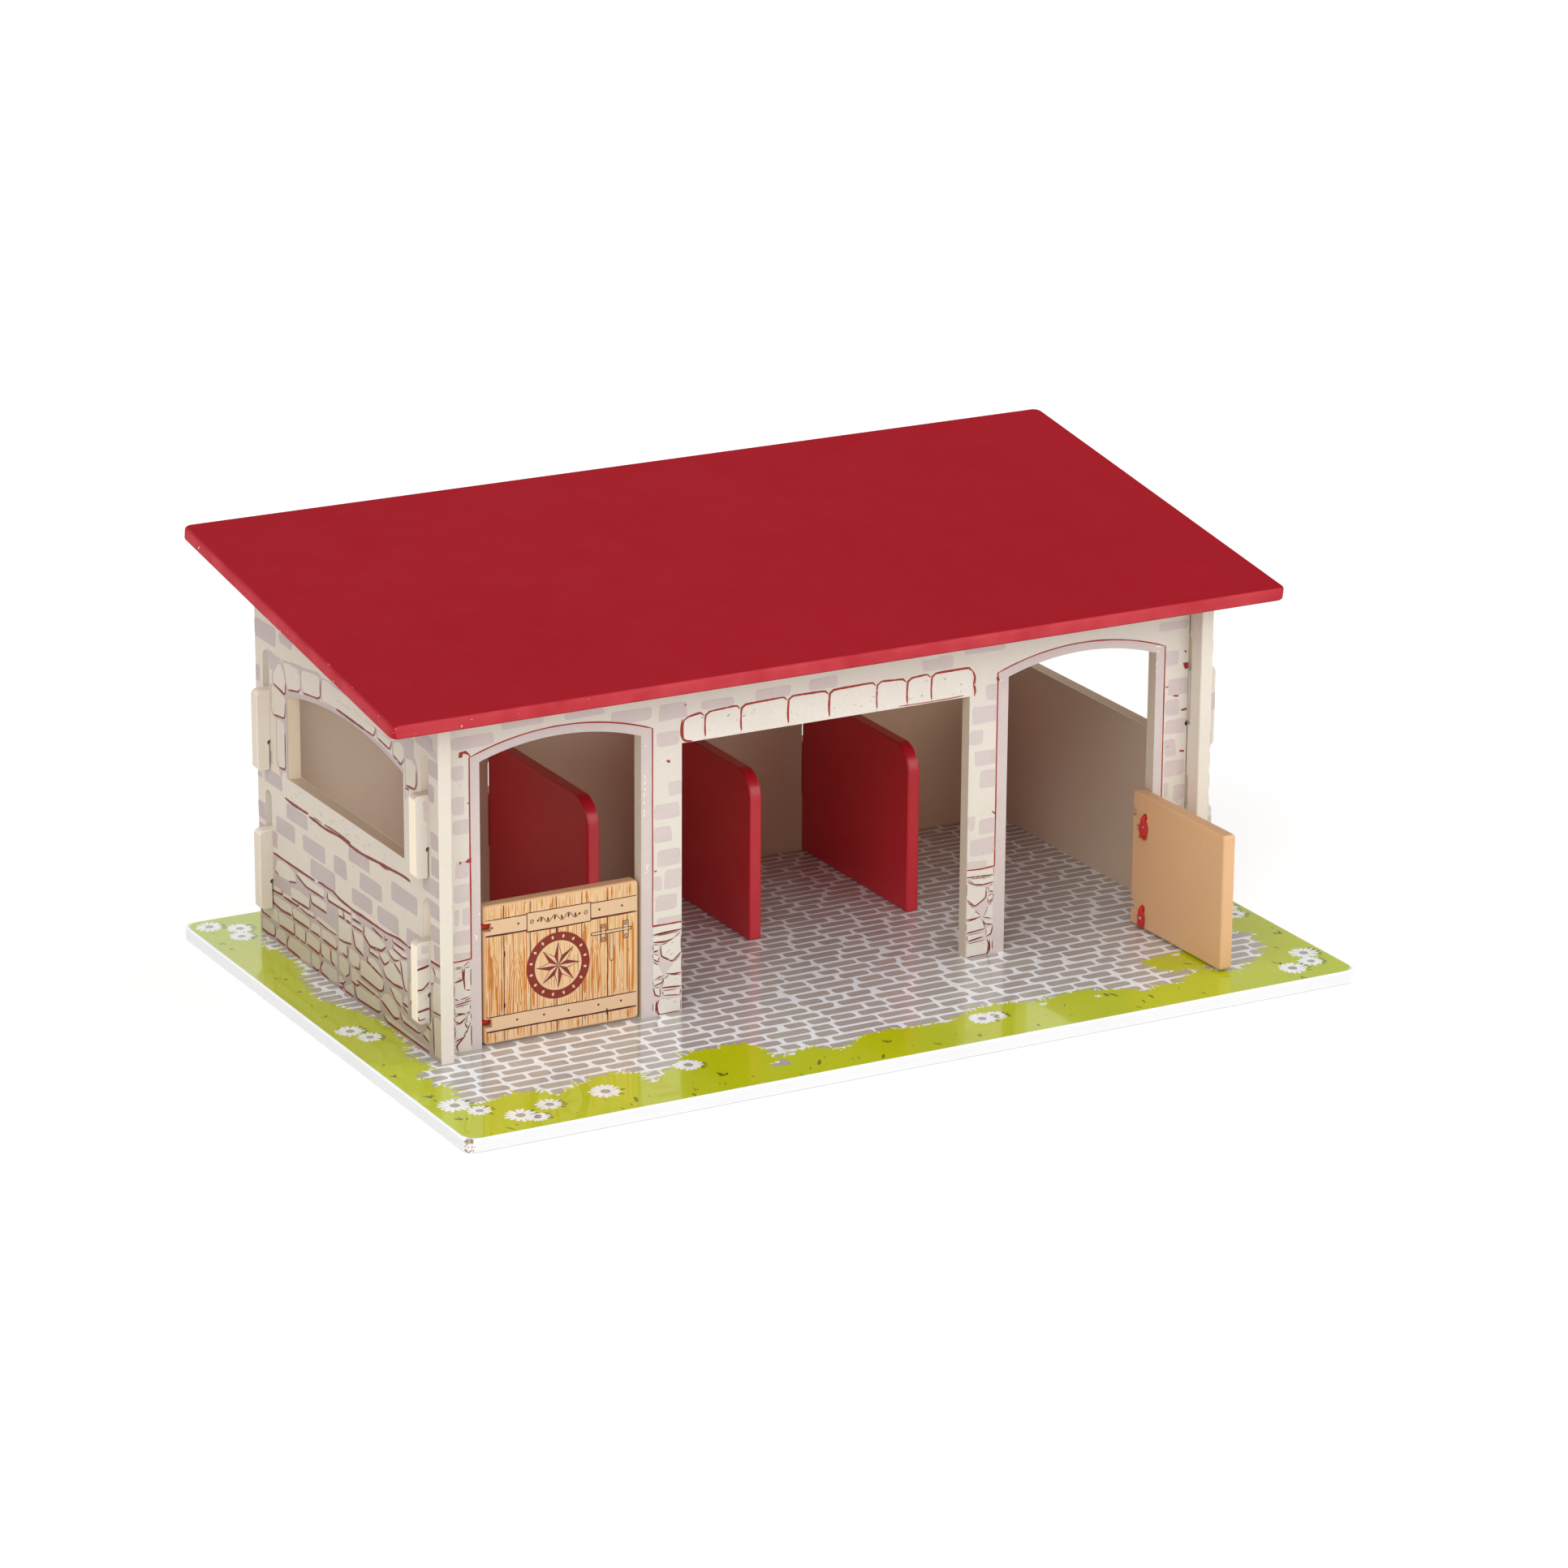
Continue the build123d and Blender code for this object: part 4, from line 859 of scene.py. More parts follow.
RED_CHIPS = [
    [(-171.3, 133.6), (-170.9, 136.0), (-167.8, 136.2), (-167.3, 135.3), (-169.3, 134.9), (-169.6, 133.6)],
    [(-168.9, 135.1), (-167.3, 135.6), (-165.5, 133.1), (-166.2, 133.3), (-167.3, 134.5)],
    [(-167.8, 113.9), (-166.4, 113.8), (-166.4, 113.4), (-167.6, 113.5)],
    [(-171.5, 89.1), (-170.4, 88.7), (-170.7, 87.8), (-171.4, 88.0)],
    [(-168.9, 88.5), (-167.3, 89.8), (-166.0, 90.0), (-166.0, 87.8), (-167.8, 88.0)],
    [(-76.4, 118.0), (-74.6, 118.2), (-74.4, 116.9), (-75.5, 116.9)],
    [(-82.0, 71.1), (-81.5, 70.5), (-80.6, 70.7), (-80.7, 70.0), (-81.8, 69.8)],
    [(-68.0, 140.7), (-67.3, 141.5), (-66.9, 140.7), (-67.5, 140.4)],
    [(81.9, 131.3), (83.4, 130.7), (83.4, 129.3), (82.1, 129.8)],
    [(175.8, 124.1), (178.5, 124.0), (178.5, 121.3), (176.9, 121.0), (176.3, 122.4)],
    [(171.2, 110.1), (173.9, 109.8), (173.7, 109.0), (171.5, 109.3)],
    [(167.2, 114.4), (168.6, 114.5), (168.5, 114.0), (167.4, 113.8)],
    [(80.8, 71.6), (81.9, 70.9), (83.0, 70.0), (82.8, 69.3), (81.4, 70.5)],
    [(175.2, 103.0), (178.4, 103.4), (178.3, 102.4), (176.0, 102.1)],
    [(175.2, 84.5), (177.7, 84.1), (177.5, 83.3), (175.3, 83.6)],
    [(168.6, 86.9), (169.5, 87.1), (169.4, 86.5)],
    [(176.0, 129.9), (177.7, 129.2), (177.0, 128.3)],
]

WHITE_NICKS = [
    [(-86.6, 113.6), (-86.0, 112.5), (-86.4, 111.3)],
    [(-85.8, 110.5), (-86.6, 109.1)],
    [(-86.4, 107.7), (-86.0, 106.5)],
    [(-86.7, 105.5), (-86.4, 104.4), (-86.9, 103.5)],
    [(-86.6, 101.8), (-86.7, 100.7)],
    [(-86.4, 98.2), (-86.7, 96.8)],
    [(-86.6, 96.4), (-86.9, 94.9)],
    [(-86.0, 73.8), (-84.7, 73.5), (-85.6, 72.2), (-84.9, 71.3)],
    [(-85.6, 70.9), (-86.0, 70.0)],
    [(-165.1, 56.2), (-163.8, 55.5), (-164.4, 54.0)],
    [(-162.7, 65.5), (-162.2, 64.5)],
    [(-86.0, 126.4), (-85.6, 125.5)],
    [(161.7, 132.9), (163.2, 133.5), (164.3, 132.7)],
    [(162.1, 126.7), (162.5, 125.5), (161.7, 124.0)],
    [(162.3, 122.7), (161.9, 121.5)],
    [(162.6, 130.7), (163.5, 131.3)],
    [(161.5, 101.8), (161.4, 100.5)],
    [(84.3, 130.0), (84.6, 128.9)],
]


# stones of the side walls' foot between the drawn rows: (polygon, pen lines)
MORE_SIDE_STONES = [
    ([(26.4, 28.4), (17.0, 28.0), (16.0, 25.0), (16.4, 21.6), (21.8, 21.2), (26.8, 22.6)], [(2, 3, 4)]),
    ([(37.4, 28.6), (28.4, 28.8), (28.0, 25.6), (28.8, 22.8), (33.2, 23.6), (37.5, 23.0)], [(1, 2, 3, 4)]),
    ([(25.0, 19.8), (20.4, 20.4), (16.6, 19.0), (16.2, 15.4), (19.0, 13.4), (24.4, 14.0)], [(3, 4, 5)]),
    ([(37.2, 21.4), (31.4, 22.0), (27.0, 20.8), (26.6, 16.0), (30.4, 14.0), (37.0, 14.8)], [(2, 3, 4)]),
    ([(37.6, 12.6), (33.6, 12.4), (32.8, 10.2), (33.8, 7.4), (37.6, 7.4)], [(2, 3, 4)]),
    ([(-35.6, 44.0), (-40.8, 44.8), (-46.6, 43.2), (-47.0, 38.6), (-42.6, 36.0), (-36.4, 37.6)], [(3, 4, 5)]),
    ([(-37.0, 35.0), (-42.0, 34.4), (-47.0, 36.6), (-47.4, 29.4), (-44.0, 26.2), (-38.2, 27.4)], [(4, 5, 0)]),
    ([(-35.4, 33.0), (-36.4, 27.0), (-33.6, 22.6), (-32.8, 26.6), (-33.0, 32.4)], [(0, 1, 2)]),
    ([(-36.8, 25.2), (-42.4, 24.6), (-47.4, 26.4), (-47.6, 21.0), (-42.0, 18.4), (-36.6, 19.6)], [(3, 4, 5)]),
    ([(-56.8, 45.4), (-49.6, 45.6), (-49.4, 40.2), (-52.6, 38.0), (-56.2, 39.4)], [(2, 3, 4)]),
    ([(-53.6, 35.6), (-49.0, 34.8), (-49.2, 28.0), (-53.8, 26.4)], [(1, 2, 3)]),
    ([(-54.0, 24.0), (-49.2, 23.6), (-49.0, 18.6), (-53.2, 17.8), (-54.6, 20.6)], [(2, 3)]),
]


# ------------------------------------------------------------------ printed walls
def path_of(poly, idx):
    return [poly[i] for i in idx]


def drawn_stone(shapes, poly, lines, rng, ink_name=None, r=1.3, width=0.85):
    """A rubble stone left bare in its mortar, with pen lines along some sides."""
    body = wobble(rounded(poly, r, 4), rng, 0.13, 3.5)
    shapes.append((ink_name, body))
    pens = []
    for idx in lines:
        pts = path_of(poly, idx)
        if len(pts) > 2:
            # soften the bends of the line as the stone's corners are
            soft = [pts[0]]
            for i in range(1, len(pts) - 1):
                a, b, c = Vector(pts[i - 1]), Vector(pts[i]), Vector(pts[i + 1])
                ra, rc = min(r, (a - b).length * 0.4), min(r, (c - b).length * 0.4)
                soft += [tuple(b + (a - b).normalized() * ra), tuple(b + ((a + c) / 2 - b) * 0.08), tuple(b + (c - b).normalized() * rc)]
            soft.append(pts[-1])
            pts = soft
        pens += [("red", q) for q in stroke(pts, width * rng.uniform(1.04, 1.40), rng, step=1.4)]
    return pens


def faint_sides(poly, lines, rng, width=0.36, share=0.7):
    """Thin pen lines along the sides of a stone that have no full one."""
    n = len(poly)
    drawn = {tuple(sorted((a % n, b % n))) for idx in lines for a, b in zip(idx, idx[1:])}
    out = []
    for i in range(n):
        a, b = Vector(poly[i]), Vector(poly[(i + 1) % n])
        d = b - a
        if tuple(sorted((i, (i + 1) % n))) in drawn or d.length < 1.6 or rng.random() > share:
            continue
        side = Vector((-d.y, d.x)).normalized()
        lo, hi = rng.uniform(0.06, 0.2), rng.uniform(0.78, 0.95)
        mid = a + d * 0.5 + side * rng.uniform(-0.2, 0.2)
        out += [("red", q) for q in stroke([tuple(a + d * lo), tuple(mid), tuple(a + d * hi)], width * rng.uniform(0.8, 1.3), None, step=1.3, taper=0.6)]
    return out


def rubble(shapes, u0, u1, z0, z1, rng, width=0.85):
    """Rows of rough stones in lilac mortar, for the stretches laid out by chance."""
    pens = []
    z = z0 + 0.8
    while z < z1 - 3.0:
        h = min(rng.choice((4.6, 6.2, 7.6, 9.2)), z1 - z - 0.6)
        if z1 - (z + h) < 3.5:
            h = z1 - z - 0.8
        u = u0 + 0.8 - rng.uniform(0, 6)
        while u < u1 - 2.0:
            w = rng.uniform(9, 26)
            if u1 - (u + w) < 5:
                w = u1 - u - 0.8
            a, b = max(u, u0 + 0.5), min(u + w, u1 - 0.5)
            if b - a > 3.0:
                j = lambda s=0.9: rng.uniform(-s, s)
                hh = h - 1.3
                cut = rng.choice((0, 0, 1, 2))
                p = [(a + 0.6 + j(0.4), z + 0.5 + j(0.4)), ((a + b) / 2 + j(2), z + 0.1 + j(0.5)), (b - 0.6 + j(0.4), z + 0.5 + j(0.4)), (b - 0.3 + j(0.3), z + hh * 0.5)]
                p += [(b - 0.9 + j(0.5), z + hh + j(0.3)), ((a + b) / 2 + j(2), z + hh + 0.3 + j(0.3)), (a + 0.9 + j(0.5), z + hh + j(0.3)), (a + 0.2 + j(0.3), z + hh * 0.45)]
                if cut == 1 and b - a > 8:
                    p[4] = (b - 3.0, z + hh)
                if cut == 2 and b - a > 8:
                    p[6] = (a + 3.0, z + hh)
                idx = [(7, 0, 1, 2), (0, 1, 2), (0, 1, 2, 3), (1, 2, 3, 4), (6, 7, 0, 1, 2)][rng.randrange(5)]
                pens += drawn_stone(shapes, p, [idx], rng, width=width)
            u += w + 0.3
        z += h + 0.25
    return pens


def flecks(u0, u1, z0, z1, n, rng, size=(1.0, 3.4)):
    out = []
    for _ in range(n):
        cx, cz = rng.uniform(u0, u1), rng.uniform(z0, z1)
        ln, a = rng.uniform(*size), rng.uniform(-0.5, 0.5)
        dx, dz = math.cos(a) * ln / 2, math.sin(a) * ln / 2
        w = rng.uniform(0.25, 0.75)
        if rng.random() < 0.5:
            out += stroke([(cx - dx, cz - dz), (cx + dz * 0.3, cz + w * 0.5), (cx + dx, cz + dz)], w, rng, step=0.8)
        else:
            out.append(wobble(rounded([(cx - dx, cz - dz), (cx, cz - w), (cx + dx, cz + dz), (cx + dx * 0.2, cz + w)], 0.5, 2), rng, 0.12, 1.2))
    return out


def roof_under(y):
    return 159.5 + (y + 78.35) * math.tan(math.radians(8.31)) - 6.0 / math.cos(math.radians(8.31))


SLOT_W = 6.6


def slot_hole(c, z0, h=41.2, grow=0.35, wide=SLOT_W):
    r = wide / 2 + grow
    top = z0 + h - wide / 2
    return [(c - r, z0 - grow), (c + r, z0 - grow), (c + r, top), *[(c + r * math.cos(math.pi * i / 12), top + r * math.sin(math.pi * i / 12)) for i in range(1, 12)], (c - r, top)]


WINDOW = [(-29.8, 85.2), (86.2, 85.2), *reversed(arch(-29.8, 86.2, 122.2, 129.2, 28))]


def side_wall(name, place, body, seed, front_slot=(-50.5, SLOT_W)):
    rng = random.Random(seed)
    shapes = []
    # mortar of the rubble foot and of the window's stones
    foot = [(-62.7, 6.2), (118.7, 6.2), (118.7, 47.0), (100.0, 47.1), (76.0, 47.0), (60.3, 46.8), (55.0, 48.2), (42.0, 48.2), (30.0, 46.4), (18.6, 46.6), (-6.4, 46.8), (-24.5, 48.2), (-40.0, 47.8), (-62.7, 48.9)]
    shapes.append(("lilac", wobble(foot, rng, 0.12, 6.0)))
    shapes.append((None, WINDOW))
    ring = arch(-29.8, 86.2, 122.2, 129.2, 28)
    band = [*ring, *reversed([(y + (0.9 if y > 28 else -0.9) * (abs(y - 28.2) / 58), z + 1.9) for y, z in ring])]
    shapes.append(("lilac", band))
    shapes.append(("lilac", [(86.2, 85.0), (88.0, 85.4), (88.0, 122.5), (86.2, 122.4)]))
    for p in SURROUND_LILAC:
        shapes.append(("lilac", wobble(rounded(p, 1.0, 3), rng, 0.12, 4.0)))
    for x0, z0, x1, z1 in SIDE_BRICKS:
        shapes.append(("lilac", brick(x0, z0, x1, z1, rng)))
    pens = []
    for p, lines in SURROUND_STONES:
        pens += halo(shapes, p, lines, rng)
    for p, lines in SIDE_STONES:
        pens += drawn_stone(shapes, p, lines, rng)
    for p, lines in MORE_SIDE_STONES:
        pens += drawn_stone(shapes, p, lines, rng)
    more = []
    pens += rubble(more, 38.0, 118.6, 6.4, 34.0, rng)
    shapes += more
    for i, line in enumerate(SILL_LINES):
        w = (1.1, 1.1, 0.45, 0.6, 1.2, 0.4)[i]
        pens += [("red", q) for q in stroke(line, w * 1.15, rng, step=1.5)]
    for line in SIDE_TOP_LINES:
        pens += [("red", q) for q in stroke(line, 1.1, rng, step=1.8)]
    # thin hatching under the eaves at the front corner
    for k in range(5):
        pens += [("fleck", q) for q in stroke([(-46.0 - k * 1.2, 142.8 - k * 0.9), (-54.0, 141.6 - k * 0.9), (-62.0, 140.4 - k * 0.8)], 0.35, rng)]
    for q in flecks(-25, 84, 77.5, 84.0, 30, rng) + flecks(-40, 110, 50, 74, 16, rng, (0.8, 2.2)):
        pens.append(("fleck", q))
    for q in flecks(-60, 112, 9, 45, 42, rng, (0.8, 2.8)):
        pens.append(("fleck", q))
    for q in flecks(-30, 90, 124, 137, 10, rng, (0.8, 2.2)):
        pens.append(("fleck", q))
    # a few bare nicks in the lilac
    for q in flecks(-62, 118, 20, 140, 22, rng, (0.5, 1.4)):
        pens.append((None, q))
    shapes += pens
    z_f, z_b = roof_under(-62.7) - 0.4, roof_under(118.7) - 0.4
    outline = [(-62.7, 6.25), (118.7, 6.25), (118.7, z_b), (-62.7, z_f)]
    holes = [WINDOW] + [slot_hole(c, z, wide=w) for c, w in (front_slot, (107.5, SLOT_W)) for z in (32.8, 95.9)]
    return print_on(name, outline, holes, shapes, place, body, SIDE_INKS)


def halo(shapes, poly, lines, rng):
    """A surround stone: mortar a little wider than the stone, the bare stone, then its pen lines."""
    c = (sum(p[0] for p in poly) / len(poly), sum(p[1] for p in poly) / len(poly))
    grown = []
    for x, z in poly:
        d = math.hypot(x - c[0], z - c[1]) or 1.0
        grown.append((x + (x - c[0]) / d * 1.25, z + (z - c[1]) / d * 1.25))
    k = len(shapes)
    shapes.append(("lilac", wobble(rounded(grown, 1.8, 4), rng, 0.15, 3.5)))
    pens = drawn_stone(shapes, poly, lines, rng, r=1.6, width=0.8)
    return pens


side_wall("left_wall_print", lambda u, v, h: (-185.0 - h, u, v), "stable", 11)
side_wall("right_wall_print", lambda u, v, h: (185.0 + h, u, v), "stable", 12, (-51.3, 8.2))


# front wall: (x, z)
def doorway(x0, x1, grow=0.0):
    return [(x0 - grow, 5.0), (x1 + grow, 5.0), *reversed(arch(x0 - grow, x1 + grow, 130.5 + grow * 0.5, 136.7 + grow, 24))]


def front_wall():
    rng = random.Random(21)
    shapes = []
    # rubble feet of the pillars
    for a, b in ((-178.6, -166.0), (-83.2, -69.0), (69.0, 83.2), (166.0, 178.6)):
        shapes.append(("lilac", wobble(box2(a, 6.2, b, 46.0), rng, 0.1, 6.0)))
    for x0, z0, x1, z1 in FRONT_BRICKS:
        shapes.append(("lilac", brick(x0, z0, x1, z1, rng)))
    pens = []
    faint = random.Random(77)
    for p, lines in PILLAR_STONES:
        pens += drawn_stone(shapes, p, lines, rng, r=0.9, width=0.56) + faint_sides(p, lines, faint)
    for p, lines in PILLAR_STONES:
        q = [(-x, z) for x, z in p]
        pens += drawn_stone(shapes, q, lines, rng, r=0.9, width=0.56) + faint_sides(q, lines, faint)
    # doorway trims: lilac band with a thin red outline that turns out over the rubble
    for s in (-1, 1):
        outer = sorted((s * 82.7, s * 166.5))
        inner = sorted((s * 88.0, s * 162.0))
        top = arch(outer[0], outer[1], 133.0, 140.6, 26)
        trim = [(outer[0], 5.0), (outer[1], 5.0), *reversed(top)]
        shapes.append(("lilac", trim))
        out_x = {s * 82.7: s * 69.2, s * 166.5: s * 178.7}
        line = [(outer[0], 46.4), *top, (outer[1], 46.4)]
        shapes += [("scarlet", q) for q in stroke(line, 0.62, rng, taper=0.9, smooth=False)]
        # straight sides are drawn again in short pieces, so that they waver a little
        for x in outer:
            shapes += [("scarlet", q) for q in stroke([(x, 46.0), (x + 0.08, 75.0), (x - 0.06, 104.0), (x, 133.2)], 0.6, rng, taper=0.9, step=3.0)]
            shapes += [("scarlet", q) for q in stroke([(x, 46.2), ((x + out_x[x]) / 2, 46.0 + rng.uniform(-0.3, 0.2)), (out_x[x], 46.2)], 0.7, rng, taper=0.9)]
    # lintel of paler stones over the middle opening
    lower = 124.7
    tops = [135.4, 136.3, 136.9, 137.3, 137.1, 137.4, 136.8, 137.2]
    for i in range(8):
        a, b = LINTEL_JOINTS[i] + 0.25, LINTEL_JOINTS[i + 1] - 0.25
        t0, t1 = tops[i], tops[min(i + 1, 7)]
        p = [(a, lower - 0.4), (b, lower - 0.4), (b, t1), ((a + b) / 2, (t0 + t1) / 2 + rng.uniform(-0.3, 0.5)), (a, t0)]
        shapes.append(("stone", wobble(rounded(p, 1.6, 4), rng, 0.12, 4.0)))
        pts = [(a + 0.1, lower + 1.2), (a - 0.2, lower + 5.5), (a + 0.3, t0 - 1.2), (a + 2.0, t0 - 0.05), ((a + b) / 2, (t0 + t1) / 2 + 0.1), (b - 1.6, t1), (b - 0.1, t1 - 1.4)]
        shapes += [("scarlet", q) for q in stroke(pts, rng.uniform(0.8, 1.15), rng, step=1.1, taper=0.5)]
    pts = [(70.0, 136.0), (71.3, 133.0), (71.0, 129.5), (71.6, 126.5), (71.2, 124.4)]
    shapes += [("scarlet", q) for q in stroke(pts, 1.0, rng, step=1.1)]
    pts = [(-68.8, 134.8), (-69.3, 131.0), (-69.0, 127.4), (-67.4, 125.3), (-64.0, 124.8)]
    shapes += [("scarlet", q) for q in stroke(pts, 1.0, rng, step=1.1)]
    shapes += [("scarlet", q) for q in stroke([(34.0, 125.2), (52.0, 125.0), (66.0, 125.3)], 0.45, rng)]
    shapes += [("fleck", q) for q in flecks(-66, 69, 126.5, 135.5, 26, rng, (0.7, 2.4))]
    shapes += pens
    for p in RED_CHIPS:
        shapes.append(("scarlet", wobble(p, rng, 0.08, 1.5)))
    for p in WHITE_NICKS:
        shapes += [("scratch", q) for q in stroke(p, 0.5, rng, step=0.8)]
    for a, b in ((-178, -167), (-82, -70), (71, 82), (168, 178)):
        shapes += [("fleck", q) for q in flecks(a, b, 9, 43, 12, rng, (0.5, 1.7))]
        shapes += [("fleck", q) for q in flecks(a, b, 50, 130, 5, rng, (0.5, 1.3))]
    outline = [(-178.5, 6.25), (178.5, 6.25), (178.5, 156.2), (-178.5, 156.2)]
    holes = [doorway(-162.0, -88.0), doorway(88.0, 162.0), box2(-69.0, 5.0, 69.0, 124.5)]
    holes += [disc(x, z, 1.4, 16) for x in (-178.7, 178.7) for z in (33.2, 96.3)]
    print_on("front_wall_print", outline, holes, shapes, lambda u, v, h: (u, -53.5 - h, v), "stable", WALL_INKS)

    # the same print runs on over the front faces of the hooks
    # lower left hook: (x, z) as bands across its face
    rng = random.Random(31)
    a, b = -190.9, -185.75
    lo = [("lilac", brick(-188.6, 52.2, -184.8, 55.2, rng, r=0.8)), ("lilac", wobble(box2(a - 1, 46.9, b + 1, 49.6), rng, 0.08, 2.0)), ("lilac", wobble(box2(a - 1, 36.3, b + 1, 38.6), rng, 0.08, 2.0)), ("lilac", box2(a - 1, 20.0, b + 1, 35.2))]
    for p in (
        [(-191.4, 34.8), (-188.6, 35.2), (-184.8, 37.4), (-184.8, 28.6), (-188.0, 28.2), (-191.4, 27.8)],
        [(-191.4, 26.6), (-184.8, 27.2), (-184.8, 24.2), (-188.2, 22.6), (-191.4, 24.4)],
    ):
        lo.append((None, wobble(rounded(p, 0.6, 3), rng, 0.08, 2.0)))
    lo.append((None, [(-191.6, 36.0), (-189.0, 36.0), (-187.2, 38.0), (-184.6, 40.6), (-184.6, 44.0), (-191.6, 44.0)]))
    lo.append(("lilac", [(-191.6, 36.6), (-188.9, 36.4), (-187.1, 37.6), (-184.6, 39.8), (-184.6, 38.2), (-188.0, 35.2), (-191.6, 35.2)]))
    for p, w in (
        ([(-191.2, 45.3), (-188.0, 45.9), (-184.8, 46.7)], 0.95),
        ([(-191.2, 36.5), (-188.9, 36.4), (-187.1, 37.8), (-184.8, 40.2)], 0.65),
        ([(-191.2, 26.8), (-188.0, 27.4), (-184.8, 28.0)], 0.75),
        ([(-190.9, 24.7), (-190.4, 23.2), (-187.6, 23.6)], 0.5),
    ):
        lo += [("red", q) for q in stroke(p, w, rng, step=1.0, taper=0.8)]
    for q in flecks(a + 1, b - 1, 29, 43, 4, rng, (0.4, 1.2)):
        lo.append(("fleck", q))
    up = [("lilac", brick(-187.6, 108.5, -184.6, 117.5, rng, r=1.2))]
    hooks = [("left_lower", a, b, 21.0, 57.0, lo), ("left_upper", a, b, 84.1, 120.1, up)]
    # right hooks
    rng = random.Random(32)
    a, b = 187.2, 192.8
    lo = [("lilac", box2(a - 1, 20.0, b + 1, 43.6)), ("lilac", brick(189.4, 46.6, 194.0, 51.8, rng, r=1.0))]
    for p in (
        [(193.4, 38.6), (186.6, 39.6), (186.6, 34.4), (188.6, 32.6), (193.4, 31.6)],
        [(193.4, 30.6), (189.8, 31.4), (186.6, 33.0), (186.6, 28.6), (193.4, 26.0)],
        [(192.4, 25.0), (188.8, 26.4), (187.6, 24.2), (192.4, 22.4)],
    ):
        lo.append((None, wobble(rounded(p, 0.6, 3), rng, 0.08, 2.0)))
    for p in ([(193.2, 40.6), (189.8, 41.6), (186.4, 42.6)], [(193.2, 30.9), (190.2, 31.6), (186.4, 35.4)], [(193.2, 25.6), (189.8, 26.8), (186.4, 28.2)], [(192.6, 22.2), (188.8, 23.4)]):
        lo += [("red", q) for q in stroke(p, 0.6, rng, step=1.0)]
    for q in flecks(a + 1, b - 1, 23, 38, 3, rng, (0.4, 1.2)):
        lo.append(("fleck", q))
    up = [("lilac", brick(187.4, 100.7, 194.6, 108.2, rng, r=0.8)), ("lilac", brick(184.6, 111.5, 189.0, 118.0, rng, r=1.0))]
    hooks += [("right_lower", a, b, 21.0, 57.0, lo), ("right_upper", a, b, 84.1, 120.1, up)]
    for part, a, b, z0, z1, shp in hooks:
        face = rounded(box2(a, z0 + 0.4, b, z1 - 0.4), 2.0, 4)
        print_on(f"{part}_hook_print", face, [], shp, lambda u, v, h: (u, -53.5 - h, v), "stable", WALL_INKS)


front_wall()


def back_wall():
    """The outer face of the back board: scattered bricks over a rubble foot."""
    rng = random.Random(41)
    shapes = [("lilac", wobble(box2(-178.6, 6.2, 178.6, 47.0), rng, 0.1, 6.0))]
    z, k = 51.5, 0
    while z < 174:
        u = -176.0 + (k % 2) * 11.0 + rng.uniform(-3, 3)
        while u < 172:
            w = rng.uniform(16, 23)
            if rng.random() < 0.42:
                shapes.append(("lilac", brick(max(u, -178.2), z, min(u + w, 178.2), z + rng.uniform(6.6, 7.6), rng)))
            u += w + rng.uniform(3, 6)
        z += 8.9
        k += 1
    pens = rubble(shapes, -178.4, 178.4, 6.4, 46.4, rng)
    line = [(-178.4 + 23.8 * i, 47.2 + rng.uniform(-0.7, 0.9)) for i in range(16)]
    pens += [("red", q) for q in stroke(line, 1.1, rng, step=1.8)]
    pens += [("fleck", q) for q in flecks(-175, 175, 9, 170, 90, rng, (0.7, 2.4))]
    shapes += pens
    outline = [(-178.5, 6.25), (178.5, 6.25), (178.5, 179.2), (-178.5, 179.2)]
    holes = [slot_hole(c, 32.8) for c in (-78.5, 0.0, 78.5)]
    print_on("back_wall_print", outline, holes, shapes, lambda u, v, h: (u, 110.5 + h, v), "stable", WALL_INKS)


back_wall()


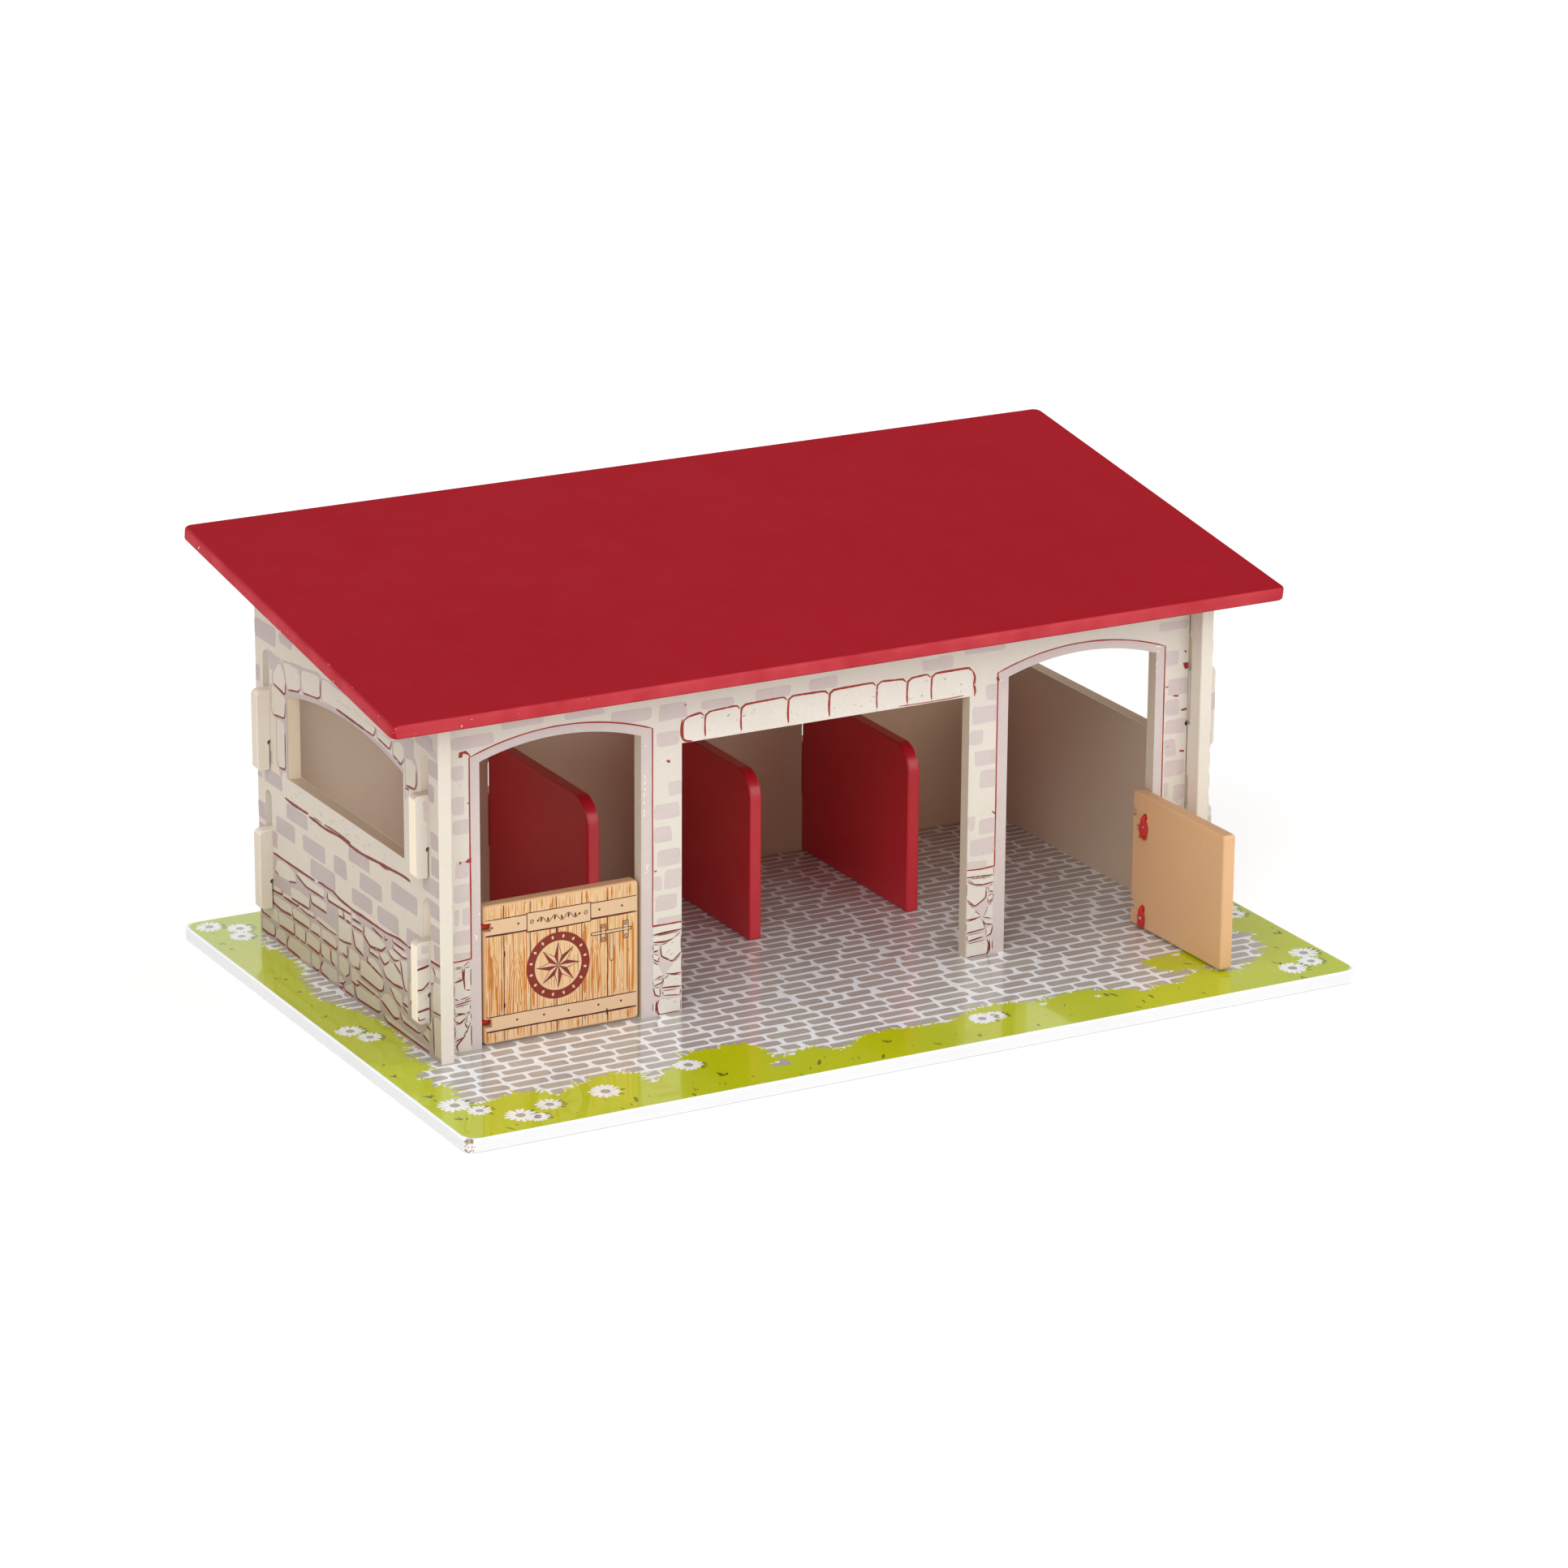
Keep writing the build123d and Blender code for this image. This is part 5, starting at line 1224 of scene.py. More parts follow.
# ------------------------------------------------------------------ printed base: (x, y)
def base_print():
    rng = random.Random(51)
    shapes = []
    # cobbles in rows, closer together towards the back
    yy = 0.8
    rows = []
    while yy < 284:
        pitch = 7.05 if yy < 90 else 7.05 - (yy - 90) * 2.25 / 150 if yy < 240 else 4.8
        rows.append((yy, pitch))
        yy += pitch
    for k, (y0, pitch) in enumerate(rows):
        h = pitch * 0.725
        x = -213.0 + rng.uniform(-9, 0)
        while x < 212:
            w = rng.choice((9.0, 9.8, 11.0, 12.2, 13.6, 15.4, 16.6, 19.6))
            a, b = max(x, -211.0), min(x + w, 211.0)
            if b - a > 2.5:
                j = lambda s: rng.uniform(-s, s)
                lo, hi = y0 - 143 + j(0.22), y0 - 143 + h + j(0.22)
                p = [(a + j(0.3), lo + j(0.25)), (b + j(0.3), lo + j(0.25)), (b + j(0.5), hi + j(0.25)), (a + j(0.5), hi + j(0.25))]
                style = rng.random()
                if style < 0.16:
                    p[0] = (p[0][0] + h * 0.35, p[0][1])
                    p[3] = (p[3][0] + h * 0.1, p[3][1])
                elif style < 0.3:
                    p[1] = (p[1][0] - h * 0.3, p[1][1])
                elif style < 0.42:
                    p.insert(2, (b + h * 0.18, (lo + hi) / 2))
                shapes.append(("cobble" if rng.random() < 0.62 else "cobble2", wobble(rounded(p, h * rng.uniform(0.24, 0.42), 4), rng, 0.1, 4.5)))
            x += w + 1.75
    # grass: a jagged band along the front and sides, a thin one behind
    front = [(-212, 40), (-203, 44), (-197, 43), (-193, 33), (-186, 33.5), (-178, 36), (-172, 36.5), (-165, 35.5), (-161, 31), (-158, 27), (-154, 30), (-147, 32.5), (-140, 35.5), (-134, 38), (-127, 38.5), (-122, 36), (-118, 33.5), (-119.5, 28.5), (-122, 25.5), (-117, 24), (-111, 25.5), (-107, 30.5), (-101, 33), (-97, 37), (-92, 42.5), (-86, 44.5), (-81, 44.5), (-76, 43.5), (-71, 44.8), (-65, 43), (-61, 39.5), (-60.5, 33), (-61, 27), (-60.5, 24), (-53, 22), (-47, 25.5), (-42, 26), (-37, 23.5), (-33, 19.5), (-28, 19), (-23, 22.5), (-18, 27), (-12, 29.5), (-6, 28.5), (0, 29.5), (6, 28), (12, 27), (18, 25.5), (24, 24.5), (31, 29), (38, 32.5), (45, 34.5), (51, 34.5), (58, 32.5), (65, 31), (72, 29), (78, 30.5), (86, 32.5), (92, 31.5), (99, 29.5), (105, 27), (111, 23.5), (116, 18.5), (121, 20), (127, 22.5), (132, 20.5), (137, 20), (141, 25), (147, 28.5), (153, 31), (159, 24), (164, 21.5), (171, 22.5), (177, 28), (183, 32), (189, 37), (194, 43), (196, 50), (194.5, 57)]
    right = [(193, 63), (190.5, 70), (193, 79), (196, 88), (193, 97), (195, 108), (198, 119), (195, 131), (193, 143), (196, 155), (199, 166), (195, 178), (197, 190), (194, 202), (196, 214), (193, 226), (191, 238), (189, 249), (187, 259), (182, 265)]
    back = [(171, 268), (150, 266), (128, 269), (104, 267), (80, 270), (55, 268), (30, 270), (4, 268), (-22, 270), (-48, 267), (-74, 270), (-100, 268), (-126, 270), (-150, 267), (-170, 266), (-184, 262)]
    left = [(-190, 254), (-193, 244), (-191, 233), (-189, 221), (-193, 208), (-196, 195), (-199, 182), (-198, 169), (-194, 158), (-190, 149), (-187.5, 138), (-186, 127), (-188, 116), (-190.5, 106), (-195, 97), (-193, 90), (-191, 84), (-190.5, 80), (-199, 75), (-202, 70), (-197, 66), (-199.5, 61), (-195, 56), (-194, 50), (-198, 46)]
    inner = front + right + back + left
    c = lambda p: (p[0], p[1] - 143.0)
    # the band is four overlapping parts, each from the rim to its inner line
    rim = 211.3
    for part in (
        [(-rim, 0.8), (rim, 0.8), (rim, 57)] + list(reversed(front)),
        [(rim, 40), (rim, 270)] + list(reversed(right + back[:1])),
        [(rim, 285.2), (-rim, 285.2)] + list(reversed(back + left[:1]))[0:0] + [(-rim, 262)] + list(reversed(back)) + [(rim, 262)],
        [(-rim, 285), (-rim, 38)] + [(-198, 38)] + list(reversed(left)) + [(-184, 262)],
    ):
        shapes.append(("grass", wobble([c(p) for p in part], rng, 0.2, 3.0)))
    # blades along the inner line
    def blades(line, lo, hi, lean, dense=1.0, broad=1.0):
        for i in range(len(line) - 1):
            (xa, ya), (xb, yb) = line[i], line[i + 1]
            d = math.hypot(xb - xa, yb - ya)
            t = 0.0
            nx, ny = -(yb - ya) / d, (xb - xa) / d
            while t < d:
                s = t / d
                px, py = xa + (xb - xa) * s, ya + (yb - ya) * s
                ln = rng.uniform(lo, hi) * (1.6 if rng.random() < 0.2 else 1.0)
                ang = rng.gauss(0, lean)
                vx, vy = nx * math.cos(ang) - ny * math.sin(ang), nx * math.sin(ang) + ny * math.cos(ang)
                if vy < 0 and abs(ny) > 0.3 and ny > 0:
                    vy = abs(vy)
                w = rng.uniform(0.55, 1.0) * broad
                tx, ty = (xb - xa) / d, (yb - ya) / d
                q = [(px - tx * w - vx * 1.2, py - ty * w - vy * 1.2), (px + tx * w - vx * 1.2, py + ty * w - vy * 1.2), (px + vx * ln * 0.5 + tx * w * 0.25, py + vy * ln * 0.5 + ty * w * 0.25), (px + vx * ln, py + vy * ln), (px + vx * ln * 0.45 - tx * w * 0.35, py + vy * ln * 0.45 - ty * w * 0.35)]
                if rng.random() < 0.14:
                    e, g = w + 0.45, ln * 1.14 + 0.3
                    halo_ = [(px - tx * e, py - ty * e), (px + tx * e, py + ty * e), (px + vx * g * 0.5 + tx * e * 0.35, py + vy * g * 0.5 + ty * e * 0.35), (px + vx * g, py + vy * g), (px + vx * g * 0.45 - tx * e * 0.45, py + vy * g * 0.45 - ty * e * 0.45)]
                    shapes.append((None, [c(p) for p in halo_]))
                shapes.append(("grass", [c(p) for p in q]))
                t += rng.uniform(1.0, 2.0) / dense

    cut = front.index((159, 24))
    blades(front[: cut + 1], 2.0, 5.4, 0.4, 0.62, 1.8)
    blades(front[cut:], 3.4, 7.0, 0.42, 0.42, 2.6)
    blades(right, 3.0, 7.5, 0.42, 0.42, 2.5)
    blades(back, 1.4, 4.2, 0.5, 0.8)
    blades(left, 2.6, 7.5, 0.4, 0.5, 2.1)
    # a tongue of grass that reaches in beside the right doorway
    tongue = [(133.5, 50), (136, 44), (138, 39), (143, 35), (149, 34.5), (157, 35), (166, 38), (172, 45), (170, 53), (160, 53), (150, 52), (140, 51.5)]
    shapes.append(("grass", wobble([c(p) for p in tongue], rng, 0.3, 2.0)))
    blades(list(reversed(tongue[:6])), 2.6, 5.6, 0.42, 0.5, 2.2)
    blades([(172, 53), (160, 54), (148, 53), (136, 51)], 2.4, 5.0, 0.45, 0.5, 2.0)
    # bare white tufts at the grass edge
    for cx, cy, r in ((-62.5, 17.5, 6.5), (-51.5, 24.0, 4.2), (-116, 23.6, 4.5), (70, 26, 4.0), (152.5, 51, 4.4), (96, 23.5, 3.0)):
        for k in range(9):
            a = rng.uniform(0.1, math.pi - 0.1) if k else 1.4
            ln = r * rng.uniform(0.55, 1.0)
            q = [(cx - 0.9, cy - 0.8), (cx + 0.9, cy - 0.8), (cx + math.cos(a) * ln, cy + math.sin(a) * ln * 0.8)]
            shapes.append((None, [c(p) for p in q]))
    shapes.append(("cobble", [c(p) for p in wobble(rounded([(-66, 15.5), (-58, 13.8), (-56, 19), (-59, 22), (-61, 18), (-66, 18)], 0.8, 3), rng, 0.15, 2.0)]))
    # olive strokes and tufts
    def tuft(cx, cy, s, n):
        for _ in range(n):
            a = rng.uniform(0.9, 2.3)
            x0, y0 = cx + rng.uniform(-1.2, 1.2) * s, cy + rng.uniform(-0.8, 0.6) * s
            ln = rng.uniform(1.8, 4.0) * s
            pts = [(x0, y0), (x0 + math.cos(a) * ln * 0.5 + 0.25, y0 + math.sin(a) * ln * 0.5), (x0 + math.cos(a) * ln, y0 + math.sin(a) * ln)]
            for q in stroke([c(p) for p in pts], 0.75 * s, rng, taper=0.15, step=0.9):
                shapes.append(("blade", q))

    for x, y, s, n in ((-208, 76, 1.1, 3), (-206, 90, 0.8, 2), (-204, 49, 1.2, 5), (-205, 44, 0.9, 2), (-203, 21, 1.4, 3), (-207, 8, 0.8, 1), (-191, 1.8, 1.2, 1), (-200, 2, 0.7, 1), (-187, 5.5, 0.9, 2), (-161, 7, 0.8, 1), (-144, 13, 0.7, 1), (-141, 1.6, 1.0, 1), (-137.5, 4, 1.3, 1), (-131, 6, 1.8, 1), (-125, 8.5, 0.8, 1), (-106, 6, 0.9, 2), (-109.5, 1.5, 1.4, 1), (-95, 8.5, 0.9, 1), (-92, 7, 0.9, 1), (-89, 16, 1.6, 4), (-103, 14, 0.8, 1), (-79, 8, 0.8, 1), (-60, 1, 1.0, 1), (-55, 5, 1.4, 1), (-48, 8, 1.7, 1), (-43, 14, 0.8, 1), (-31, 7, 0.9, 2), (-22, 3, 1.3, 1), (-9, 17, 1.2, 4), (-3, 8, 0.8, 1), (9, 5, 1.4, 1), (20, 12, 0.8, 1), (28, 5, 1.1, 2), (55, 5, 1.0, 2), (64, 14, 0.8, 1), (77, 20, 0.8, 1), (73, 8.5, 0.9, 1), (100, 22, 1.1, 3), (103, 19, 1.5, 1), (109, 8, 1.2, 1), (105, 3, 1.1, 1), (116, 11, 1.7, 1), (137, 4, 1.2, 1), (131, 15, 0.8, 1), (151, 38, 1.5, 1), (157, 18, 1.0, 2), (184, 21, 1.4, 3), (185, 1, 1.0, 3), (196, 38, 1.3, 1), (206, 53, 1.4, 4), (205, 80, 1.4, 4), (208, 60, 0.8, 1), (204, 105, 1.2, 3), (202, 128, 1.0, 2), (207, 158, 1.3, 3), (203, 186, 1.0, 2), (206, 222, 1.3, 3), (200, 250, 1.0, 2)):
        tuft(x, y, s, n)
    for _ in range(38):
        side = rng.random()
        if side < 0.45:
            tuft(rng.uniform(-208, -200), rng.uniform(100, 280), rng.uniform(0.7, 1.3), rng.randint(1, 3))
        else:
            tuft(rng.uniform(-190, 190), rng.uniform(273, 281), rng.uniform(0.6, 1.1), rng.randint(1, 3))
    # daisies: uneven petals round a grey eye, short olive shadows to the lower right
    def daisy(cx, cy, r):
        n = rng.randint(14, 17)
        a0 = rng.uniform(0, 1)
        for i in range(n):
            a = a0 + 2 * math.pi * i / n + rng.uniform(-0.07, 0.07)
            if -1.15 < math.atan2(math.sin(a), math.cos(a)) < 0.75 and rng.random() < 0.9:
                d = r * 1.06
                for q in stroke([c((cx + 0.5 + math.cos(a) * r * 0.5, cy - 0.4 + math.sin(a) * r * 0.5)), c((cx + 0.9 + math.cos(a) * d, cy - 0.7 + math.sin(a) * d))], 1.2, rng, taper=0.8, step=1.2):
                    shapes.append(("blade", q))
        for i in range(n):
            a = a0 + 2 * math.pi * i / n + rng.uniform(-0.06, 0.06)
            ln = r * rng.uniform(0.86, 1.06)
            w = r * rng.uniform(0.104, 0.136)
            ca, sa = math.cos(a), math.sin(a)
            prof = [(0.26, 0.45), (0.5, 0.9), (0.75, 1.1), (0.93, 0.85), (1.0, 0.25)]
            left_ = [(cx + ca * ln * t - sa * w * f, cy + sa * ln * t + ca * w * f) for t, f in prof]
            right_ = [(cx + ca * ln * t + sa * w * f, cy + sa * ln * t - ca * w * f) for t, f in prof]
            shapes.append(("petal", [c(p) for p in right_ + list(reversed(left_))]))
        shapes.append(("petal", [c(p) for p in disc(cx, cy, r * 0.35, 16)]))
        shapes.append(("eye", [c(p) for p in wobble(disc(cx + 0.1, cy - 0.1, r * 0.31, 14), rng, 0.12, 3.0)]))

    for x, y, r in ((-203, 277, 6.3), (-192, 269, 6.0), (-195.3, 259.5, 5.6), (-202, 132.7, 6.2), (-197.6, 122.7, 5.4), (-199.8, 37.1, 7.2), (-193.4, 27.4, 5.6), (-175.6, 10.6, 5.2), (-181, 15.3, 7.0), (-165.5, 20.4, 6.0), (-139, 22.8, 7.1), (-95.4, 33.3, 6.4), (45.4, 24.0, 5.0), (38.5, 23.5, 6.3), (202.3, 28.2, 6.6), (199.4, 18.0, 5.6), (187.6, 14.4, 6.8), (202.6, 83.6, 5.4), (205, 92.5, 4.6), (203, 141, 6.0), (196.5, 149, 5.0), (202, 214, 6.2), (195, 264, 5.8), (203.5, 272, 5.2), (62, 277.5, 5.2), (-64, 277, 5.0), (140, 276.5, 4.6)):
        daisy(x, y, r)
    corner = 4.6
    outline = rounded(box2(-211.2, -142.2, 211.2, 142.2), corner * 1.6, 5)
    # the front left corner has lost its print with the lacquer
    chips = [wobble(rounded([(-213, -144), (-208.4, -144), (-208.2, -142.2), (-209.2, -140.9), (-209.8, -139.6), (-210.3, -138.0), (-211.2, -136.6), (-213, -136.6)], 0.6, 3), rng, 0.22, 1.2)]
    return print_on("base_print", outline, chips, shapes, lambda u, v, h: (u, v, 6.0 + h), "stable", BASE_INKS, lift=0.05)


base_print()


# ------------------------------------------------------------------ printed doors: (u from the hinge edge, z)
SEAMS = [9.2, 21.3, 33.3, 45.1, 57.0]


def ring_of(poly, t):
    """The polygon drawn in by t towards its middle."""
    xs = [p[0] for p in poly]
    zs = [p[1] for p in poly]
    cx, cz = (min(xs) + max(xs)) / 2, (min(zs) + max(zs)) / 2
    w, h = (max(xs) - min(xs)) / 2, (max(zs) - min(zs)) / 2
    return [(cx + (x - cx) * (w - t) / w, cz + (z - cz) * (h - t) / h) for x, z in poly]


def door_shapes(rng):
    s = [("tan", box2(0.3, 6.9, 71.2, 67.7))]
    edges = [0.8, *SEAMS, 71.0]

    def grain(ink, pts, w, step=2.2, taper=0.25):
        for q in stroke(pts, w, rng, taper=taper, step=step):
            s.append((ink, q))

    # fine grain: lines side by side over the whole plank, broken here and there
    for k in range(6):
        a, b = edges[k] + 0.15, edges[k + 1] - 0.15
        u = a + rng.uniform(0.1, 0.5)
        while u < b:
            z = 6.9 if rng.random() < 0.6 else rng.uniform(6.9, 16)
            sway, turn = rng.uniform(-0.28, 0.28), rng.uniform(0, 6.3)
            while z < 66.5:
                z1 = min(67.7, z + rng.choice((rng.uniform(4, 10), rng.uniform(10, 26), rng.uniform(26, 60))))
                if z1 - z > 2.0:
                    n = max(2, int((z1 - z) / 7))
                    pts = [(min(max(u + sway * math.sin(turn + (z + (z1 - z) * i / n) * 0.16) + rng.uniform(-0.06, 0.06), a), b), z + (z1 - z) * i / n) for i in range(n + 1)]
                    grain("orange" if rng.random() < 0.55 else "amber", pts, rng.choice((0.26, 0.3, 0.36, 0.42, 0.56)), 3.0, 0.3)
                z = z1 + rng.uniform(0.4, 5.0)
            u += rng.uniform(0.68, 1.3)
        for _ in range(2):
            u, z0 = rng.uniform(a + 0.6, b - 0.6), rng.uniform(8, 50)
            grain("orange", [(u, z0), (u + rng.uniform(-0.2, 0.2), z0 + 6), (u + rng.uniform(-0.3, 0.3), z0 + rng.uniform(10, 17))], rng.uniform(0.6, 1.0), 2.0, 0.15)
    # broad saturated streaks
    for u, z0, z1, w in ((46.3, 22, 53, 1.4), (47.4, 61.8, 67.6, 1.3), (66.3, 20, 54, 0.9), (68.7, 19.5, 50, 1.15), (60.1, 20, 41, 0.9), (2.2, 30, 53, 0.9), (7.9, 19.5, 36, 0.9), (31.7, 60, 67.6, 1.0), (22.6, 20, 36, 0.9), (24.4, 36, 53, 1.2), (1.6, 7, 12, 1.1), (5.0, 7, 12, 0.9), (43.3, 7, 12.2, 0.9), (66.6, 7, 12, 1.2), (59.0, 61.6, 67.5, 0.9), (67.4, 61.6, 67.4, 1.1), (18.6, 30, 47, 0.8), (52.9, 21, 30, 0.9)):
        m = (z0 + z1) / 2
        grain("orange", [(u, z0), (u + rng.uniform(-0.25, 0.25), m), (u + rng.uniform(-0.2, 0.2), z1)], w, 2.4, 0.3)
    # cathedral figure in two of the planks
    for cu, cz, n, wide in ((15.2, 30.0, 4, 1.05), (51.2, 34.0, 3, 0.9), (4.8, 33.0, 3, 0.75)):
        for i in range(n):
            w, h = wide * (i + 0.6), 7.0 + 5.2 * i
            for sgn in (-1, 1):
                grain("orange", [(cu + sgn * w * 1.25, cz - h), (cu + sgn * w * 1.1, cz - h * 0.3), (cu + sgn * w * 0.8, cz + h * 0.35), (cu + sgn * 0.1, cz + h * 0.75)], 0.32, 1.6)
    # knot-like short dashes
    for _ in range(60):
        u, z = rng.uniform(1.2, 70.5), rng.uniform(8, 66)
        grain(rng.choice(("orange", "amber")), [(u, z), (u + rng.uniform(-0.1, 0.1), z + rng.uniform(1.2, 3.6))], rng.uniform(0.25, 0.5), 1.4)
    # the two printed battens
    s.append(("batten", box2(0.9, 54.6, 71.0, 61.2)))
    s.append(("batten", box2(0.9, 12.6, 70.6, 18.7)))

    def line(pts, w, taper=0.5, step=2.0):
        for q in stroke(pts, w, rng, taper=taper, step=step):
            s.append(("line", q))

    for u in SEAMS:
        for z0, z1 in ((6.9, 12.3), (18.9, 54.3), (61.4, 67.6)):
            j = rng.uniform(-0.12, 0.12)
            line([(u + j, z0), (u - j * 0.5, (z0 + z1) / 2), (u + rng.uniform(-0.1, 0.1), z1)], 0.4, 0.8)
    for u, z in ((9.3, 44.0), (9.2, 21.5), (56.6, 10.6), (33.5, 50.6), (45.2, 27.5)):
        line([(u, z), (u + 0.12, z + 1.6), (u, z + 3.2)], 0.85, 0.1, 0.8)
    line([(0.9, 61.35), (18.0, 61.25), (36.0, 61.4), (54.0, 61.2), (70.9, 61.3)], 0.42, 0.6)
    line([(0.7, 54.5), (18.0, 54.3), (36.0, 54.5), (54.0, 54.3), (70.9, 54.35)], 0.75, 0.6)
    line([(0.7, 18.8), (24.0, 18.9), (48.0, 18.7), (70.4, 18.8)], 0.45, 0.6)
    line([(0.7, 12.4), (24.0, 12.5), (48.0, 12.3), (70.4, 12.35)], 0.75, 0.6)
    for u in (3.8, 15.9, 53.3, 63.8):
        s.append(("line", disc(u, 57.9, 0.5, 12)))
    for u in (3.1, 15.0, 27.4, 38.8, 52.7, 63.2):
        s.append(("line", disc(u, 15.9, 0.5, 12)))

    def outlined(poly, t, fill="batten"):
        s.append(("line", poly))
        s.append((fill, ring_of(poly, t)))

    # name board: two slotted screws and a plain leafy scroll
    outlined(wobble(box2(19.6, 53.3, 49.5, 61.9), rng, 0.08, 5.0), 0.42)
    line([(19.7, 53.5), (34.0, 53.3), (49.5, 53.5)], 0.7, 0.8)
    for u in (22.1, 47.0):
        outlined(disc(u, 57.7, 0.95, 16), 0.28)
        line([(u - 0.55, 57.3), (u + 0.55, 58.1)], 0.28, 0.9, 0.5)
    wave = [(24.9 + 0.35 * i, 57.7 + 1.3 * math.sin(2 * math.pi * 0.35 * i / 6.3)) for i in range(56)]
    line(wave, 0.36, 0.5, 0.7)
    for i in range(6):
        x = 24.9 + 6.3 * (0.25 + 0.5 * i)
        up = 1 if i % 2 == 0 else -1
        leaf = [(x - 0.15, 57.7 + up * 1.2), (x + 0.55, 57.7 + up * 0.75), (x + 0.35, 57.7 - up * 0.25), (x - 0.35, 57.7 - up * 1.05), (x - 0.55, 57.7 + up * 0.1)]
        s.append(("line", rounded(leaf, 0.4, 3)))
    for x in (24.9, 44.1):
        s.append(("line", disc(x, 57.7, 0.5, 12)))

    # round emblem: an eight-point barn star in a ring cut with small diamonds
    cx, cz = 34.1, 36.6
    s.append(("emblem", wobble(disc(cx, cz, 14.6, 64), rng, 0.06, 5.0)))
    s.append(("tan", disc(cx, cz, 10.8, 56)))
    # a little of the plank figure shows through inside the ring
    u = cx - 10.2
    while u < cx + 10.2:
        room = math.sqrt(max(0.0, 10.5 ** 2 - (u - cx) ** 2))
        z = cz - room
        while z < cz + room - 1.5:
            z1 = min(cz + room, z + rng.uniform(3, 16))
            if z1 - z > 1.2 and rng.random() < 0.75:
                grain("orange" if rng.random() < 0.5 else "amber", [(u, z), (u + rng.uniform(-0.12, 0.12), (z + z1) / 2), (u, z1)], rng.choice((0.26, 0.3, 0.38, 0.5)), 2.4)
            z = z1 + rng.uniform(0.4, 3.0)
        u += rng.uniform(0.7, 1.3)
    for i in range(16):
        a = 2 * math.pi * (i + 0.5) / 16
        ca, sa = math.cos(a), math.sin(a)
        q = [(cx + ca * r_ - sa * t, cz + sa * r_ + ca * t) for r_, t in ((11.75, 0), (12.7, 0.62), (13.65, 0), (12.7, -0.62))]
        s.append(("tan", q))
    for i in range(8):
        a = math.pi / 2 + 2 * math.pi * i / 8
        p = lambda r_, d: (cx + r_ * math.cos(a + d), cz + r_ * math.sin(a + d))
        step = math.pi / 8
        s.append(("line", [p(0.2, 0), p(4.55, -step), p(10.2, 0), p(4.55, step)]))
        s.append(("batten", [p(0.9, -step * 0.5), p(4.2, -step * 0.93), p(9.2, -0.012), p(1.0, -0.01)]))
        s.append(("emblem", [p(0.1, 0), p(9.9, 0), p(4.45, step)]))

    # printed bolt: round bar, two keepers with screws, a dropping handle
    bar = rounded(box2(49.3, 46.6, 68.3, 48.25), 0.8, 4)
    outlined(bar, 0.38)
    for a, b in ((53.8, 56.3), (64.2, 66.9)):
        outlined(rounded(box2(a, 43.3, b, 51.2), 0.35, 3), 0.4)
        for z in (44.7, 49.8):
            m = (a + b) / 2
            outlined(disc(m, z, 0.78, 14), 0.28)
            line([(m - 0.4, z - 0.25), (m + 0.4, z + 0.3)], 0.28, 0.9, 0.4)
        s.append(("batten", box2(a + 0.3, 46.85, b - 0.3, 48.0)))
        line([(a + 0.2, 46.8), (b - 0.2, 46.8)], 0.25, 0.9)
        line([(a + 0.2, 48.1), (b - 0.2, 48.1)], 0.25, 0.9)
    drop = rounded([(58.1, 46.9), (57.7, 36.8), (57.95, 34.8), (58.9, 34.0), (59.85, 34.8), (60.1, 36.8), (59.7, 46.9)], 0.9, 4)
    outlined(drop, 0.36)
    return s


def notch(z):
    return box2(-1.0, z - 1.8 - 0.1, 3.4 + 0.1, z + 1.8 + 0.1)


def door_print(name, place, body, seed):
    outline = rounded(box2(0.9, 7.7, 70.6, 66.9), 1.2, 4)
    return print_on(name, outline, [notch(16.3), notch(58.3)], door_shapes(random.Random(seed)), place, body, DOOR_INKS)


door_print("left_door_print", lambda u, v, h: (-160.8 + u, -53.5 - h, v), "left_door_body", 61)

OPEN = math.radians(91.0)
PIVOT = {"left": (-158.4, -50.5), "right": (158.4, -50.5)}
U_DIR = {"left": (1.0, 0.0), "right": (-math.cos(OPEN), -math.sin(OPEN))}
N_DIR = {"left": (0.0, -1.0), "right": (math.sin(OPEN), -math.cos(OPEN))}


def on_door(side, u, z, n):
    """A point of a door as it stands: u from its hinge edge, n in front of its middle plane (mm)."""
    (px, py), (ux, uy), (nx, ny) = PIVOT[side], U_DIR[side], N_DIR[side]
    return (px + (u - 2.4) * ux + n * nx, py + (u - 2.4) * uy + n * ny, z)


door_print("right_door_print", lambda u, v, h: on_door("right", u, v, 3.0 + h), "right_door_body", 62)


# ------------------------------------------------------------------ cord hinges
def smooth3(pts, step):
    """Catmull-Rom through 3-D points."""
    q = [Vector(p) for p in (pts[0], *pts, pts[-1])]
    out = []
    for i in range(1, len(q) - 2):
        p0, p1, p2, p3 = q[i - 1], q[i], q[i + 1], q[i + 2]
        k = max(1, int((p2 - p1).length / step))
        for j in range(k):
            t = j / k
            out.append(0.5 * (2 * p1 + (p2 - p0) * t + (2 * p0 - 5 * p1 + 4 * p2 - p3) * t * t + (3 * p1 - p0 - 3 * p2 + p3) * t ** 3))
    out.append(q[-1])
    return out


